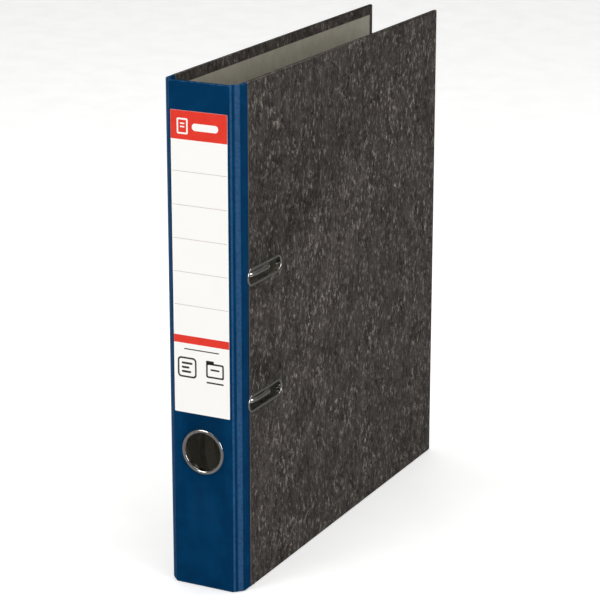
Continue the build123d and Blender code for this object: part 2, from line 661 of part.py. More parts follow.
# ---- Press bar: a pressed steel strip that slides on both posts ---------------------------------------
with BuildPart() as press_bar:
    with BuildSketch(above(BAR_REST)):
        with Locations((deep(POST_DEEP), MECHANISM_Z)):
            RectangleRounded(*BAR_SIZE, BAR_CORNER)
    extrude(amount=BAR_THICKNESS)
    with BuildSketch(above(BAR_REST + BAR_THICKNESS)):
        with Locations((deep(POST_DEEP), MECHANISM_Z)):
            SlotOverall(BAR_RIB[0], BAR_RIB[1], rotation=90)
    extrude(amount=BAR_RIB[2])
    chamfer(press_bar.faces().sort_by(Axis.X)[-1].edges(), BAR_CHAMFER)
    with BuildSketch(above(BAR_REST)):
        with Locations(*[(deep(POST_DEEP), level) for level in POST_LEVELS]):
            Circle(BAR_HOLE)
    extrude(amount=BAR_THICKNESS, mode=Mode.SUBTRACT)
press_bar.part.label = "press_bar"
export_step(press_bar.part, "parts/press_bar.step")
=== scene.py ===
"""Looks of a narrow lever arch file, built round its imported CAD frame.

The case is covered in three papers: a blue one on the spine, a clouded one on the covers and a warm grey
lining. All lengths are in metres, and every place is worked out from the frame.
"""

import sys

import json
import logging
import math
from dataclasses import dataclass, field
from enum import Enum
from typing import Callable, Iterable, Sequence

import bmesh
import bpy
from mathutils import Euler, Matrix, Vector


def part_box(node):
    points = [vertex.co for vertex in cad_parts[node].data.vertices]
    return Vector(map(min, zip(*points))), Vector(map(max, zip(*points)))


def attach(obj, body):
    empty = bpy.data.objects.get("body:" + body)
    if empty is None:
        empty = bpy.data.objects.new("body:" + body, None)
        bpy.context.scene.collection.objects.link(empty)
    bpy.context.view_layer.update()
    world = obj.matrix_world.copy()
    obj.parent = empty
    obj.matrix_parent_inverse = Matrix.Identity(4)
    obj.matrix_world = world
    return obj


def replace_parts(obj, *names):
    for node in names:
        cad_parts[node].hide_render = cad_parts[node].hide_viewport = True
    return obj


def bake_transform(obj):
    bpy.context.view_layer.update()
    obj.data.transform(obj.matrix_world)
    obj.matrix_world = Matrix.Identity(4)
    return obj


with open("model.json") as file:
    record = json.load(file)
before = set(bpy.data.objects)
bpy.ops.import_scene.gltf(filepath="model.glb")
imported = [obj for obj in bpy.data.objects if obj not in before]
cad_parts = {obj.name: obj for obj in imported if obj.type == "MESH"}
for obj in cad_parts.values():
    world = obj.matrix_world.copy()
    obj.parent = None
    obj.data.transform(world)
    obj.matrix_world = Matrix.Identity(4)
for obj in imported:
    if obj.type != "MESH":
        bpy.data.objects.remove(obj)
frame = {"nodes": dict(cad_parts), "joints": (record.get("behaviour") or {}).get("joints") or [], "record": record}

LOG = logging.getLogger("lever_arch_file")
MM = 0.001
NEAR = 0.01 * MM
HALF_RIGHT = math.sqrt(0.5)
HALF_BEND = math.radians(22.5)  # each crease turns the case's outer line by twice this
SHARP_ANGLE = 35.0
WHITE = (1.0, 1.0, 1.0, 1.0)

Colour = tuple[float, float, float, float]
Point2 = tuple[float, float]


# ---- Small helpers ---------------------------------------------------------------------------------


class Body(str, Enum):
    """The rigid bodies of the file that pieces ride on."""

    BACK_COVER = "back_cover"
    BACK_STRIP = "back_strip"
    SPINE = "spine"
    FRONT_STRIP = "front_strip"
    FRONT_COVER = "front_cover"


class Side(Enum):
    """The two sides of the case, with the sign of their X."""

    BACK = -1
    FRONT = 1

    @property
    def word(self) -> str:
        """The side's name as it stands in the names of pieces."""
        return self.name.lower()

    @property
    def cover(self) -> Body:
        """The body of this side's cover."""
        return Body.BACK_COVER if self is Side.BACK else Body.FRONT_COVER

    @property
    def strip(self) -> Body:
        """The body of this side's joint strip."""
        return Body.BACK_STRIP if self is Side.BACK else Body.FRONT_STRIP


def display_colour(red: int, green: int, blue: int) -> Colour:
    """Turn a display colour into the linear colour that shaders use.

    Args:
        red: Red, 0 to 255.
        green: Green, 0 to 255.
        blue: Blue, 0 to 255.

    Returns:
        The linear colour with an alpha of 1.
    """

    def linear(channel: int) -> float:
        """One channel through the inverse of the display curve."""
        share = channel / 255
        return share / 12.92 if share <= 0.04045 else ((share + 0.055) / 1.055) ** 2.4

    return (linear(red), linear(green), linear(blue), 1.0)


def joint_point(name: str) -> Vector:
    """A joint's point in the row frame."""
    return next(Vector(joint["pos_m"]) for joint in frame["joints"] if joint["name"] == name)


# ---- Shader graphs ---------------------------------------------------------------------------------


class Graph:
    """A node tree that is being written, with short calls for its nodes and links."""

    def __init__(self, tree: bpy.types.NodeTree) -> None:
        """Keep the tree and clear what is in it."""
        self.tree = tree
        self.tree.nodes.clear()

    def node(self, kind: str, settings: dict | None = None, **inputs) -> bpy.types.Node:
        """Add a node.

        Args:
            kind: The node's type, without the ShaderNode prefix.
            settings: The node's own properties.
            **inputs: Input sockets by name with `_` for spaces, each a value or an output socket.

        Returns:
            The new node.
        """
        name = kind if kind.startswith("NodeGroup") else f"ShaderNode{kind}"
        made = self.tree.nodes.new(name)
        for key, value in (settings or {}).items():
            setattr(made, key, value)
        for key, value in inputs.items():
            self.feed(made.inputs[key.replace("_", " ")], value)
        return made

    def feed(self, socket: bpy.types.NodeSocket, value: object) -> None:
        """Link an output to a socket, or set the socket's own value."""
        if isinstance(value, bpy.types.NodeSocket):
            self.tree.links.new(value, socket)
        else:
            socket.default_value = value

    def math(self, operation: str, *values: object, clamp: bool = False) -> bpy.types.NodeSocket:
        """Add a Math node.

        Args:
            operation: The node's operation.
            *values: Its inputs in order, each a number or an output socket.
            clamp: Whether the result is held between 0 and 1.

        Returns:
            The node's output.
        """
        made = self.node("Math", {"operation": operation, "use_clamp": clamp})
        for socket, value in zip(made.inputs, values):
            self.feed(socket, value)
        return made.outputs[0]

    def vector_math(self, operation: str, *values: object) -> bpy.types.NodeSocket:
        """Add a Vector Math node.

        Args:
            operation: The node's operation.
            *values: Its inputs in order, each a vector or an output socket.

        Returns:
            The node's vector.
        """
        made = self.node("VectorMath", {"operation": operation})
        for socket, value in zip(made.inputs, values):
            self.feed(socket, value)
        return made.outputs[0]

    def ramp(self, value: object, low: float, high: float, to: Point2 = (0.0, 1.0)) -> bpy.types.NodeSocket:
        """Map a value from low..high to a range, smoothly and clamped.

        Args:
            value: The value's output socket.
            low: Where the range starts.
            high: Where it ends, which may be under `low`.
            to: What `low` and `high` become.

        Returns:
            The mapped value.
        """
        made = self.node("MapRange", {"interpolation_type": "SMOOTHSTEP"})
        for socket, entry in zip(made.inputs, (value, low, high, *to)):
            self.feed(socket, entry)
        return made.outputs[0]

    def blend_colour(self, share: object, first: object, second: object) -> bpy.types.NodeSocket:
        """Mix two colours.

        Args:
            share: Share of the second colour.
            first: The first colour.
            second: The second colour.

        Returns:
            The mixed colour.
        """
        made = self.node("Mix", {"data_type": "RGBA"})
        self.feed(made.inputs[0], share)
        self.feed(made.inputs[6], first)
        self.feed(made.inputs[7], second)
        return made.outputs[2]

    def noise(
        self, vector: object, scale: float, detail: float = 2.0, rough: float = 0.5
    ) -> bpy.types.NodeSocket:
        """Add a noise texture and return its factor."""
        made = self.node("TexNoise", Vector=vector, Scale=scale, Detail=detail, Roughness=rough)
        return made.outputs["Fac"]

    def place(self) -> bpy.types.NodeSocket:
        """The place on the object in its own frame, in millimetres."""
        return self.scaled(self.node("TexCoord").outputs["Object"], 1 / MM)

    def scaled(self, vector: bpy.types.NodeSocket, factor: float) -> bpy.types.NodeSocket:
        """A vector times a plain number."""
        return self.vector_math("MULTIPLY", vector, (factor, factor, factor))


@dataclass(frozen=True)
class Socket:
    """One socket of a node group's interface."""

    name: str
    kind: str = "NodeSocketFloat"
    value: object = None


class ShaderGroup:
    """A node group that several materials use, built once."""

    _built: dict[str, bpy.types.NodeTree] = {}

    name: str = ""
    inputs: tuple[Socket, ...] = ()
    outputs: tuple[Socket, ...] = ()

    @classmethod
    def tree(cls) -> bpy.types.NodeTree:
        """The group's node tree, made on first use."""
        if cls.name not in cls._built:
            tree = bpy.data.node_groups.new(cls.name, "ShaderNodeTree")
            for way, sockets in (("INPUT", cls.inputs), ("OUTPUT", cls.outputs)):
                for entry in sockets:
                    socket = tree.interface.new_socket(name=entry.name, in_out=way, socket_type=entry.kind)
                    if entry.value is not None:
                        socket.default_value = entry.value
            graph = Graph(tree)
            cls.write(graph, graph.node("NodeGroupInput"), graph.node("NodeGroupOutput"))
            cls._built[cls.name] = tree
        return cls._built[cls.name]

    @classmethod
    def write(cls, graph: Graph, source: bpy.types.Node, result: bpy.types.Node) -> None:
        """Write the group's nodes between its input and output nodes.

        Args:
            graph: The group's graph.
            source: Its input node.
            result: Its output node.
        """
        raise NotImplementedError

    @classmethod
    def use(cls, graph: Graph, **inputs) -> bpy.types.Node:
        """Place the group in a material's graph.

        Args:
            graph: The graph that the group goes in.
            **inputs: The group's input values by name, with `_` for spaces.

        Returns:
            The group node.
        """
        made = graph.node("Group", {"node_tree": cls.tree()})
        for key, value in inputs.items():
            graph.feed(made.inputs[key.replace("_", " ")], value)
        return made


class CloudMarbling(ShaderGroup):
    """Clouded cover paper: dark mottling under short pale fibres that run up the cover."""

    name = "cloud_marbling"
    inputs = (
        Socket("Stretch", value=0.38),
        Socket("Fleck Amount", value=1.0),
    )
    outputs = (
        Socket("Cloud"),
        Socket("Flecks"),
        Socket("Height"),
    )

    @classmethod
    def write(cls, graph: Graph, source: bpy.types.Node, result: bpy.types.Node) -> None:
        """Write the mottling, the fibres and their height.

        Args:
            graph: The group's graph.
            source: Its input node.
            result: Its output node.
        """
        place = graph.place()
        sway = graph.node("TexNoise", Vector=place, Scale=0.3, Detail=2.0, Roughness=0.5).outputs["Color"]
        sway = graph.vector_math("SUBTRACT", sway, (0.5, 0.5, 0.5))
        sway = graph.vector_math("MULTIPLY", sway, (4.5, 4.5, 3.0))
        lengthen = graph.node("CombineXYZ", X=1.0, Y=1.0, Z=source.outputs["Stretch"]).outputs[0]
        grain = graph.vector_math("MULTIPLY", graph.vector_math("ADD", place, sway), lengthen)

        cloud = graph.noise(graph.vector_math("MULTIPLY", place, (1.0, 1.0, 0.55)), 0.085, 4.0, 0.62)
        mottle = graph.noise(grain, 0.7, 5.0, 0.78)
        mixed = graph.math("ADD", graph.math("MULTIPLY", cloud, 0.3), graph.math("MULTIPLY", mottle, 0.7))
        graph.feed(result.inputs["Cloud"], graph.ramp(mixed, 0.36, 0.64))

        strand = graph.noise(grain, 0.55, 3.0, 0.55)
        away = graph.math("ABSOLUTE", graph.math("SUBTRACT", strand, 0.5))
        ridge = graph.math("SUBTRACT", 1.0, graph.math("MULTIPLY", away, 8.0), clamp=True)
        shorter = graph.noise(graph.vector_math("MULTIPLY", place, (1.0, 1.0, 0.6)), 0.38, 3.0, 0.65)
        patches = graph.ramp(shorter, 0.47, 0.72)
        broad = graph.ramp(graph.noise(place, 0.035, 2.0, 0.5), 0.3, 0.7, (0.45, 1.0))
        flecks = graph.math("MULTIPLY", graph.math("POWER", ridge, 1.6), patches)
        flecks = graph.math("MULTIPLY", flecks, broad)
        flecks = graph.math("MULTIPLY", flecks, source.outputs["Fleck Amount"], clamp=True)
        graph.feed(result.inputs["Flecks"], flecks)

        fine = graph.noise(grain, 3.4, 2.0, 0.6)
        height = graph.math("ADD", graph.math("MULTIPLY", fine, 0.6), graph.math("MULTIPLY", mottle, 0.4))
        graph.feed(result.inputs["Height"], height)


class PaperTooth(ShaderGroup):
    """The fine tooth of paper: soft blotches for colour, and fibres for height."""

    name = "paper_tooth"
    inputs = (Socket("Scale", value=1.0),)
    outputs = (Socket("Blotch"), Socket("Height"))

    @classmethod
    def write(cls, graph: Graph, source: bpy.types.Node, result: bpy.types.Node) -> None:
        """Write the blotches and the tooth.

        Args:
            graph: The group's graph.
            source: Its input node.
            result: Its output node.
        """
        place = graph.place()
        scale = source.outputs["Scale"]
        size = graph.node("CombineXYZ", X=scale, Y=scale, Z=scale)
        place = graph.vector_math("MULTIPLY", place, size.outputs[0])
        graph.feed(result.inputs["Blotch"], graph.ramp(graph.noise(place, 0.12, 4.0, 0.6), 0.3, 0.7))
        graph.feed(result.inputs["Height"], graph.noise(place, 2.6, 4.0, 0.65))


class LeatherEmboss(ShaderGroup):
    """A fine pressed grain of small pebbles, as on covering paper for spines."""

    name = "leather_emboss"
    inputs = (Socket("Pebbles", value=1.5),)
    outputs = (Socket("Height"), Socket("Hollows"))

    @classmethod
    def write(cls, graph: Graph, source: bpy.types.Node, result: bpy.types.Node) -> None:
        """Write the pebbles and the hollows between them.

        Args:
            graph: The group's graph.
            source: Its input node.
            result: Its output node.
        """
        place = graph.place()
        drift = graph.node("TexNoise", Vector=place, Scale=0.8, Detail=1.0).outputs["Color"]
        place = graph.vector_math("ADD", place, graph.scaled(drift, 0.6))
        pebbles = source.outputs["Pebbles"]
        smooth = {"feature": "SMOOTH_F1"}
        cells = graph.node("TexVoronoi", smooth, Vector=place, Scale=pebbles, Smoothness=0.6)
        height = graph.ramp(cells.outputs["Distance"], 0.75, 0.1)
        graph.feed(result.inputs["Height"], height)
        graph.feed(result.inputs["Hollows"], graph.math("SUBTRACT", 1.0, height))


class EdgeWear(ShaderGroup):
    """Handling wear: a patchy mask along the edges of the case's outer box."""

    name = "edge_wear"
    inputs = (
        Socket("Centre", "NodeSocketVector", (0.0, 0.0, 0.0)),
        Socket("Half Size", "NodeSocketVector", (1.0, 1.0, 1.0)),
        Socket("Width", value=1.0),
    )
    outputs = (Socket("Wear"),)

    @classmethod
    def write(cls, graph: Graph, source: bpy.types.Node, result: bpy.types.Node) -> None:
        """Write the mask from the distances to the box's faces, the two nearest of which make an edge.

        Args:
            graph: The group's graph.
            source: Its input node.
            result: Its output node.
        """
        place = graph.place()
        away = graph.vector_math("ABSOLUTE", graph.vector_math("SUBTRACT", place, source.outputs["Centre"]))
        inside = graph.vector_math("SUBTRACT", source.outputs["Half Size"], away)
        x, y, z = graph.node("SeparateXYZ", Vector=inside).outputs
        upright = graph.math("MAXIMUM", x, y)
        level = graph.math("MAXIMUM", graph.math("MINIMUM", x, y), z)
        near = graph.math("MINIMUM", upright, level)
        patchy = graph.noise(place, 0.55, 4.0, 0.7)
        reach = graph.math("MULTIPLY", source.outputs["Width"], graph.ramp(patchy, 0.35, 0.72, (0.15, 1.6)))
        graph.feed(result.inputs["Wear"], graph.ramp(graph.math("DIVIDE", near, reach), 1.0, 0.25))


# ---- Finishes --------------------------------------------------------------------------------------


@dataclass(frozen=True)
class Finish:
    """A material that is made once, on first use."""

    name: str

    def material(self) -> bpy.types.Material:
        """The finish as a material."""
        found = bpy.data.materials.get(self.name)
        if found is None:
            found = bpy.data.materials.new(self.name)
            found.use_nodes = True
            graph = Graph(found.node_tree)
            shader = graph.node("BsdfPrincipled")
            output = graph.node("OutputMaterial")
            graph.feed(output.inputs["Surface"], shader.outputs[0])
            self.write(graph, shader)
        return found

    def write(self, graph: Graph, shader: bpy.types.Node) -> None:
        """Write the finish's nodes and set the shader's values.

        Args:
            graph: The material's graph.
            shader: Its shader.
        """
        raise NotImplementedError

    def bump(
        self, graph: Graph, shader: bpy.types.Node, height: object, strength: float, distance: float
    ) -> None:
        """Feed a height to the shader's normal.

        Args:
            graph: The material's graph.
            shader: Its shader.
            height: The height's output socket.
            strength: Strength of the relief.
            distance: Its depth in millimetres.
        """
        made = graph.node("Bump", Height=height, Strength=strength, Distance=distance * MM)
        graph.feed(shader.inputs["Normal"], made.outputs[0])


@dataclass(frozen=True)
class CaseFinish(Finish):
    """A finish that wears along the edges of the case's outer box, given in millimetres."""

    centre: tuple[float, float, float] = (0.0, 0.0, 0.0)
    half_size: tuple[float, float, float] = (1.0, 1.0, 1.0)

    def handled(
        self, graph: Graph, colour: object, worn: Colour, width: float, most: float
    ) -> bpy.types.NodeSocket:
        """Lay the wear over a colour.

        Args:
            graph: The material's graph.
            colour: The colour of the unworn surface.
            worn: The colour where it is worn through.
            width: How far the wear reaches from an edge, in millimetres.
            most: The worn colour's largest share.

        Returns:
            The colour with its wear.
        """
        wear = EdgeWear.use(graph, Centre=self.centre, Half_Size=self.half_size, Width=width)
        return graph.blend_colour(graph.math("MULTIPLY", wear.outputs["Wear"], most), colour, worn)


@dataclass(frozen=True)
class CloudedPaper(CaseFinish):
    """Clouded cover paper in black and grey."""

    dark: Colour = display_colour(24, 20, 17)
    light: Colour = display_colour(76, 70, 65)
    fleck: Colour = display_colour(164, 156, 148)
    worn: Colour = display_colour(140, 131, 119)
    torn: Colour = display_colour(122, 102, 82)
    lap: float = 0.0

    def lap_edge(self, graph: Graph) -> bpy.types.NodeSocket:
        """Mask of the paper's cut edge, a thin fuzzy line where it laps over the covering of the spine.

        Args:
            graph: The material's graph.

        Returns:
            The mask.
        """
        place = graph.node("SeparateXYZ", Vector=graph.place())
        fuzz = graph.math("MULTIPLY", graph.noise(graph.place(), 1.1, 3.0, 0.7), 0.8)
        past = graph.math("ADD", graph.math("SUBTRACT", place.outputs[1], self.lap), fuzz)
        return graph.math("MULTIPLY", graph.ramp(past, 1.25, 0.65), 0.8)

    def write(self, graph: Graph, shader: bpy.types.Node) -> None:
        """Mottling, pale fibres, worn edges, a cut edge and a soft tooth.

        Args:
            graph: The material's graph.
            shader: Its shader.
        """
        marbling = CloudMarbling.use(graph)
        colour = graph.blend_colour(marbling.outputs["Cloud"], self.dark, self.light)
        colour = graph.blend_colour(marbling.outputs["Flecks"], colour, self.fleck)
        colour = self.handled(graph, colour, self.worn, 0.7, 0.35)
        graph.feed(shader.inputs["Base Color"], graph.blend_colour(self.lap_edge(graph), colour, self.torn))
        graph.feed(shader.inputs["Roughness"], graph.ramp(marbling.outputs["Cloud"], 0.0, 1.0, (0.72, 0.62)))
        shader.inputs["Specular IOR Level"].default_value = 0.32
        self.bump(graph, shader, marbling.outputs["Height"], 0.35, 0.08)


@dataclass(frozen=True)
class BlueCovering(CaseFinish):
    """Blue covering paper with a fine pressed grain and a low gloss."""

    deep: Colour = display_colour(0, 46, 81)
    bright: Colour = display_colour(1, 53, 90)
    worn: Colour = display_colour(70, 108, 144)
    # lighter blue painted on the joint strips as a highlight where the creases catch light
    wear_and_highlight: Colour = display_colour(62, 97, 136)
    crease: Point2 = (0.0, 0.0)

    def joint_highlight(self, graph: Graph) -> bpy.types.NodeSocket:
        """Mask of the two painted highlight bands on each joint strip, by the distance past the spine crease.

        Args:
            graph: The material's graph.

        Returns:
            The mask.
        """
        place = graph.node("SeparateXYZ", Vector=graph.place())
        past = graph.math("SUBTRACT", graph.math("ABSOLUTE", place.outputs[0]), self.crease[0])
        behind = graph.math("SUBTRACT", place.outputs[1], self.crease[1])
        along = graph.math("MULTIPLY", graph.math("ADD", past, behind), HALF_RIGHT)
        thin = graph.math("MULTIPLY", graph.ramp(along, 0.5, 1.0), graph.ramp(along, 2.3, 1.6))
        wide = graph.math("MULTIPLY", graph.ramp(along, 3.2, 4.2), graph.ramp(along, 7.4, 6.4))
        uneven = graph.ramp(graph.noise(graph.place(), 0.5, 3.0, 0.6), 0.2, 0.7, (0.45, 1.0))
        on_strip = graph.ramp(past, 0.0, 0.3)
        return graph.math("MULTIPLY", graph.math("MULTIPLY", graph.math("ADD", thin, wide), uneven), on_strip)

    def write(self, graph: Graph, shader: bpy.types.Node) -> None:
        """Blotchy blue with painted highlights on the joint strips, worn at the head and tail, over a pressed
        grain.

        Args:
            graph: The material's graph.
            shader: Its shader.
        """
        tooth = PaperTooth.use(graph, Scale=0.7)
        emboss = LeatherEmboss.use(graph, Pebbles=1.9)
        colour = graph.blend_colour(tooth.outputs["Blotch"], self.deep, self.bright)
        # painted highlight: lighter blue in a thin and a wide band on each joint strip
        colour = graph.blend_colour(graph.math("MULTIPLY", self.joint_highlight(graph), 0.6), colour, self.wear_and_highlight)
        graph.feed(shader.inputs["Base Color"], self.handled(graph, colour, self.worn, 0.8, 0.4))
        graph.feed(shader.inputs["Roughness"], graph.ramp(emboss.outputs["Hollows"], 0.0, 1.0, (0.36, 0.52)))
        shader.inputs["Specular IOR Level"].default_value = 0.02
        fine = graph.math("MULTIPLY", tooth.outputs["Height"], 0.5)
        height = graph.math("ADD", emboss.outputs["Height"], fine)
        self.bump(graph, shader, height, 0.22, 0.05)


@dataclass(frozen=True)
class PlainPaper(Finish):
    """A plain paper or board with blotches and tooth."""

    dark: Colour = (0.3, 0.3, 0.3, 1.0)
    light: Colour = (0.4, 0.4, 0.4, 1.0)
    tooth: float = 1.0
    roughness: Point2 = (0.6, 0.75)
    relief: float = 0.25

    def write(self, graph: Graph, shader: bpy.types.Node) -> None:
        """Two close colours over a fine tooth.

        Args:
            graph: The material's graph.
            shader: Its shader.
        """
        tooth = PaperTooth.use(graph, Scale=self.tooth)
        fleck = graph.math("MULTIPLY", tooth.outputs["Height"], 0.35)
        share = graph.math("ADD", graph.math("MULTIPLY", tooth.outputs["Blotch"], 0.65), fleck, clamp=True)
        graph.feed(shader.inputs["Base Color"], graph.blend_colour(share, self.dark, self.light))
        graph.feed(shader.inputs["Roughness"], graph.ramp(tooth.outputs["Blotch"], 0.0, 1.0, self.roughness))
        shader.inputs["Specular IOR Level"].default_value = 0.3
        self.bump(graph, shader, tooth.outputs["Height"], self.relief, 0.06)


@dataclass(frozen=True)
class StudioFloor(PlainPaper):
    """Pale paper for the floor, which glows faintly to the eye and is darker in a mirror."""

    glow: float = 0.3
    mirrored: Colour = (0.16, 0.16, 0.16, 1.0)

    def write(self, graph: Graph, shader: bpy.types.Node) -> None:
        """Plain paper, told apart by the kind of ray that meets it.

        Args:
            graph: The material's graph.
            shader: Its shader.
        """
        super().write(graph, shader)
        ray = graph.node("LightPath")
        base = shader.inputs["Base Color"]
        paper = base.links[0].from_socket
        graph.feed(base, graph.blend_colour(ray.outputs["Is Glossy Ray"], paper, self.mirrored))
        seen = graph.math("MULTIPLY", ray.outputs["Is Camera Ray"], self.glow)
        graph.feed(shader.inputs["Emission Strength"], seen)
        shader.inputs["Emission Color"].default_value = WHITE


@dataclass(frozen=True)
class Metal(Finish):
    """Plated or bare metal with fine scratches and faint tarnish."""

    colour: Colour = (0.72, 0.71, 0.69, 1.0)
    tarnish: Colour = (0.5, 0.48, 0.45, 1.0)
    roughness: Point2 = (0.1, 0.2)
    scratches: float = 0.05

    def write(self, graph: Graph, shader: bpy.types.Node) -> None:
        """Bright metal, clouded and scratched a little.

        Args:
            graph: The material's graph.
            shader: Its shader.
        """
        place = graph.place()
        cloudy = graph.ramp(graph.noise(place, 0.22, 4.0, 0.65), 0.45, 0.75)
        share = graph.math("MULTIPLY", cloudy, 0.5)
        graph.feed(shader.inputs["Base Color"], graph.blend_colour(share, self.colour, self.tarnish))
        streaks = graph.noise(graph.vector_math("MULTIPLY", place, (6.0, 0.5, 3.0)), 1.0, 3.0, 0.6)
        graph.feed(shader.inputs["Roughness"], graph.ramp(streaks, 0.35, 0.7, self.roughness))
        shader.inputs["Metallic"].default_value = 1.0
        self.bump(graph, shader, streaks, self.scratches, 0.03)


@dataclass(frozen=True)
class MouldedPlastic(Finish):
    """Dark moulded plastic with a faint spark texture."""

    colour: Colour = (0.02, 0.02, 0.02, 1.0)
    # lighter patches of wear on the plastic
    wear_and_highlight: Colour = (0.06, 0.06, 0.06, 1.0)

    def write(self, graph: Graph, shader: bpy.types.Node) -> None:
        """Dark plastic, worn lighter in patches.

        Args:
            graph: The material's graph.
            shader: Its shader.
        """
        tooth = PaperTooth.use(graph, Scale=2.0)
        colour = graph.blend_colour(tooth.outputs["Blotch"], self.colour, self.wear_and_highlight)
        graph.feed(shader.inputs["Base Color"], colour)
        graph.feed(shader.inputs["Roughness"], graph.ramp(tooth.outputs["Height"], 0.3, 0.7, (0.35, 0.55)))
        self.bump(graph, shader, tooth.outputs["Height"], 0.15, 0.03)


# ---- Meshes ----------------------------------------------------------------------------------------


def mesh_piece(
    name: str,
    points: Sequence[Sequence[float]],
    faces: Sequence[Sequence[int]],
    finish: Finish,
    smooth_angle: float = SHARP_ANGLE,
) -> bpy.types.Object:
    """Make a mesh object with its finish.

    Args:
        name: The piece's name.
        points: Vertices in the row frame.
        faces: Faces as vertex numbers.
        finish: The piece's finish.
        smooth_angle: Edges sharper than this, in degrees, stay sharp.

    Returns:
        The new object, linked to the scene.
    """
    mesh = bpy.data.meshes.new(name)
    mesh.from_pydata([tuple(point) for point in points], [], [tuple(face) for face in faces])
    mesh.validate()
    shape = bmesh.new()
    shape.from_mesh(mesh)
    bmesh.ops.recalc_face_normals(shape, faces=shape.faces)
    shape.to_mesh(mesh)
    shape.free()
    mesh.shade_smooth()
    mesh.set_sharp_from_angle(angle=math.radians(smooth_angle))
    mesh.materials.append(finish.material())
    piece = bpy.data.objects.new(name, mesh)
    bpy.context.scene.collection.objects.link(piece)
    return piece


def grid_faces(rows: int, columns: int, wrap_rows: bool = False) -> list[tuple[int, ...]]:
    """Quads between rows of points whose columns close on themselves.

    Args:
        rows: Number of rows.
        columns: Number of points in each row.
        wrap_rows: Whether the last row joins the first.

    Returns:
        The faces as vertex numbers.
    """
    faces = []
    for row in range(rows if wrap_rows else rows - 1):
        after = (row + 1) % rows
        for column in range(columns):
            beside = (column + 1) % columns
            here, there = row * columns, after * columns
            faces.append((here + column, here + beside, there + beside, there + column))
    return faces


def cut_with(piece: bpy.types.Object, cutter: bpy.types.Object) -> None:
    """Take the cutter's shape out of a piece and throw the cutter away.

    Args:
        piece: The piece, which gets a new mesh.
        cutter: The cutter, which is removed.
    """
    knife = piece.modifiers.new("cut", "BOOLEAN")
    knife.operation = "DIFFERENCE"
    knife.solver = "EXACT"
    knife.object = cutter
    bpy.context.view_layer.update()
    graph = bpy.context.evaluated_depsgraph_get()
    result = bpy.data.meshes.new_from_object(piece.evaluated_get(graph))
    piece.modifiers.clear()
    old = piece.data
    piece.data = result
    bpy.data.meshes.remove(old)
    bpy.data.objects.remove(cutter)


def finished(
    piece: bpy.types.Object, body: Body, slot: str, replaced: Iterable[str] = ()
) -> bpy.types.Object:
    """Let a piece ride on its body, hide the CAD nodes that it stands for and report it.

    Args:
        piece: The piece.
        body: The body that it rides on.
        slot: The record's material slot.
        replaced: CAD nodes that it stands for.

    Returns:
        The same piece.
    """
    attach(piece, body.value)
    return registered(piece, slot, replaced)


def registered(piece: bpy.types.Object, slot: str, replaced: Iterable[str] = ()) -> bpy.types.Object:
    """Hide the CAD nodes that a piece stands for, and report the piece with its slot.

    Args:
        piece: The piece.
        slot: The record's material slot.
        replaced: CAD nodes that it stands for.

    Returns:
        The same piece.
    """
    nodes = list(replaced)
    if nodes:
        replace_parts(piece, *nodes)
    LOG.info("%s: %d faces, slot %s", piece.name, len(piece.data.polygons), slot)
    return piece


# ---- The case in plan ------------------------------------------------------------------------------


@dataclass(frozen=True)
class Station:
    """A place on the case's outer line in plan, with the way inwards per metre of depth under the face."""

    point: Point2
    inward: Point2

    def at(self, under: float, level: float) -> tuple[float, float, float]:
        """The point `under` the outer face at a level."""
        return (self.point[0] + under * self.inward[0], self.point[1] + under * self.inward[1], level)


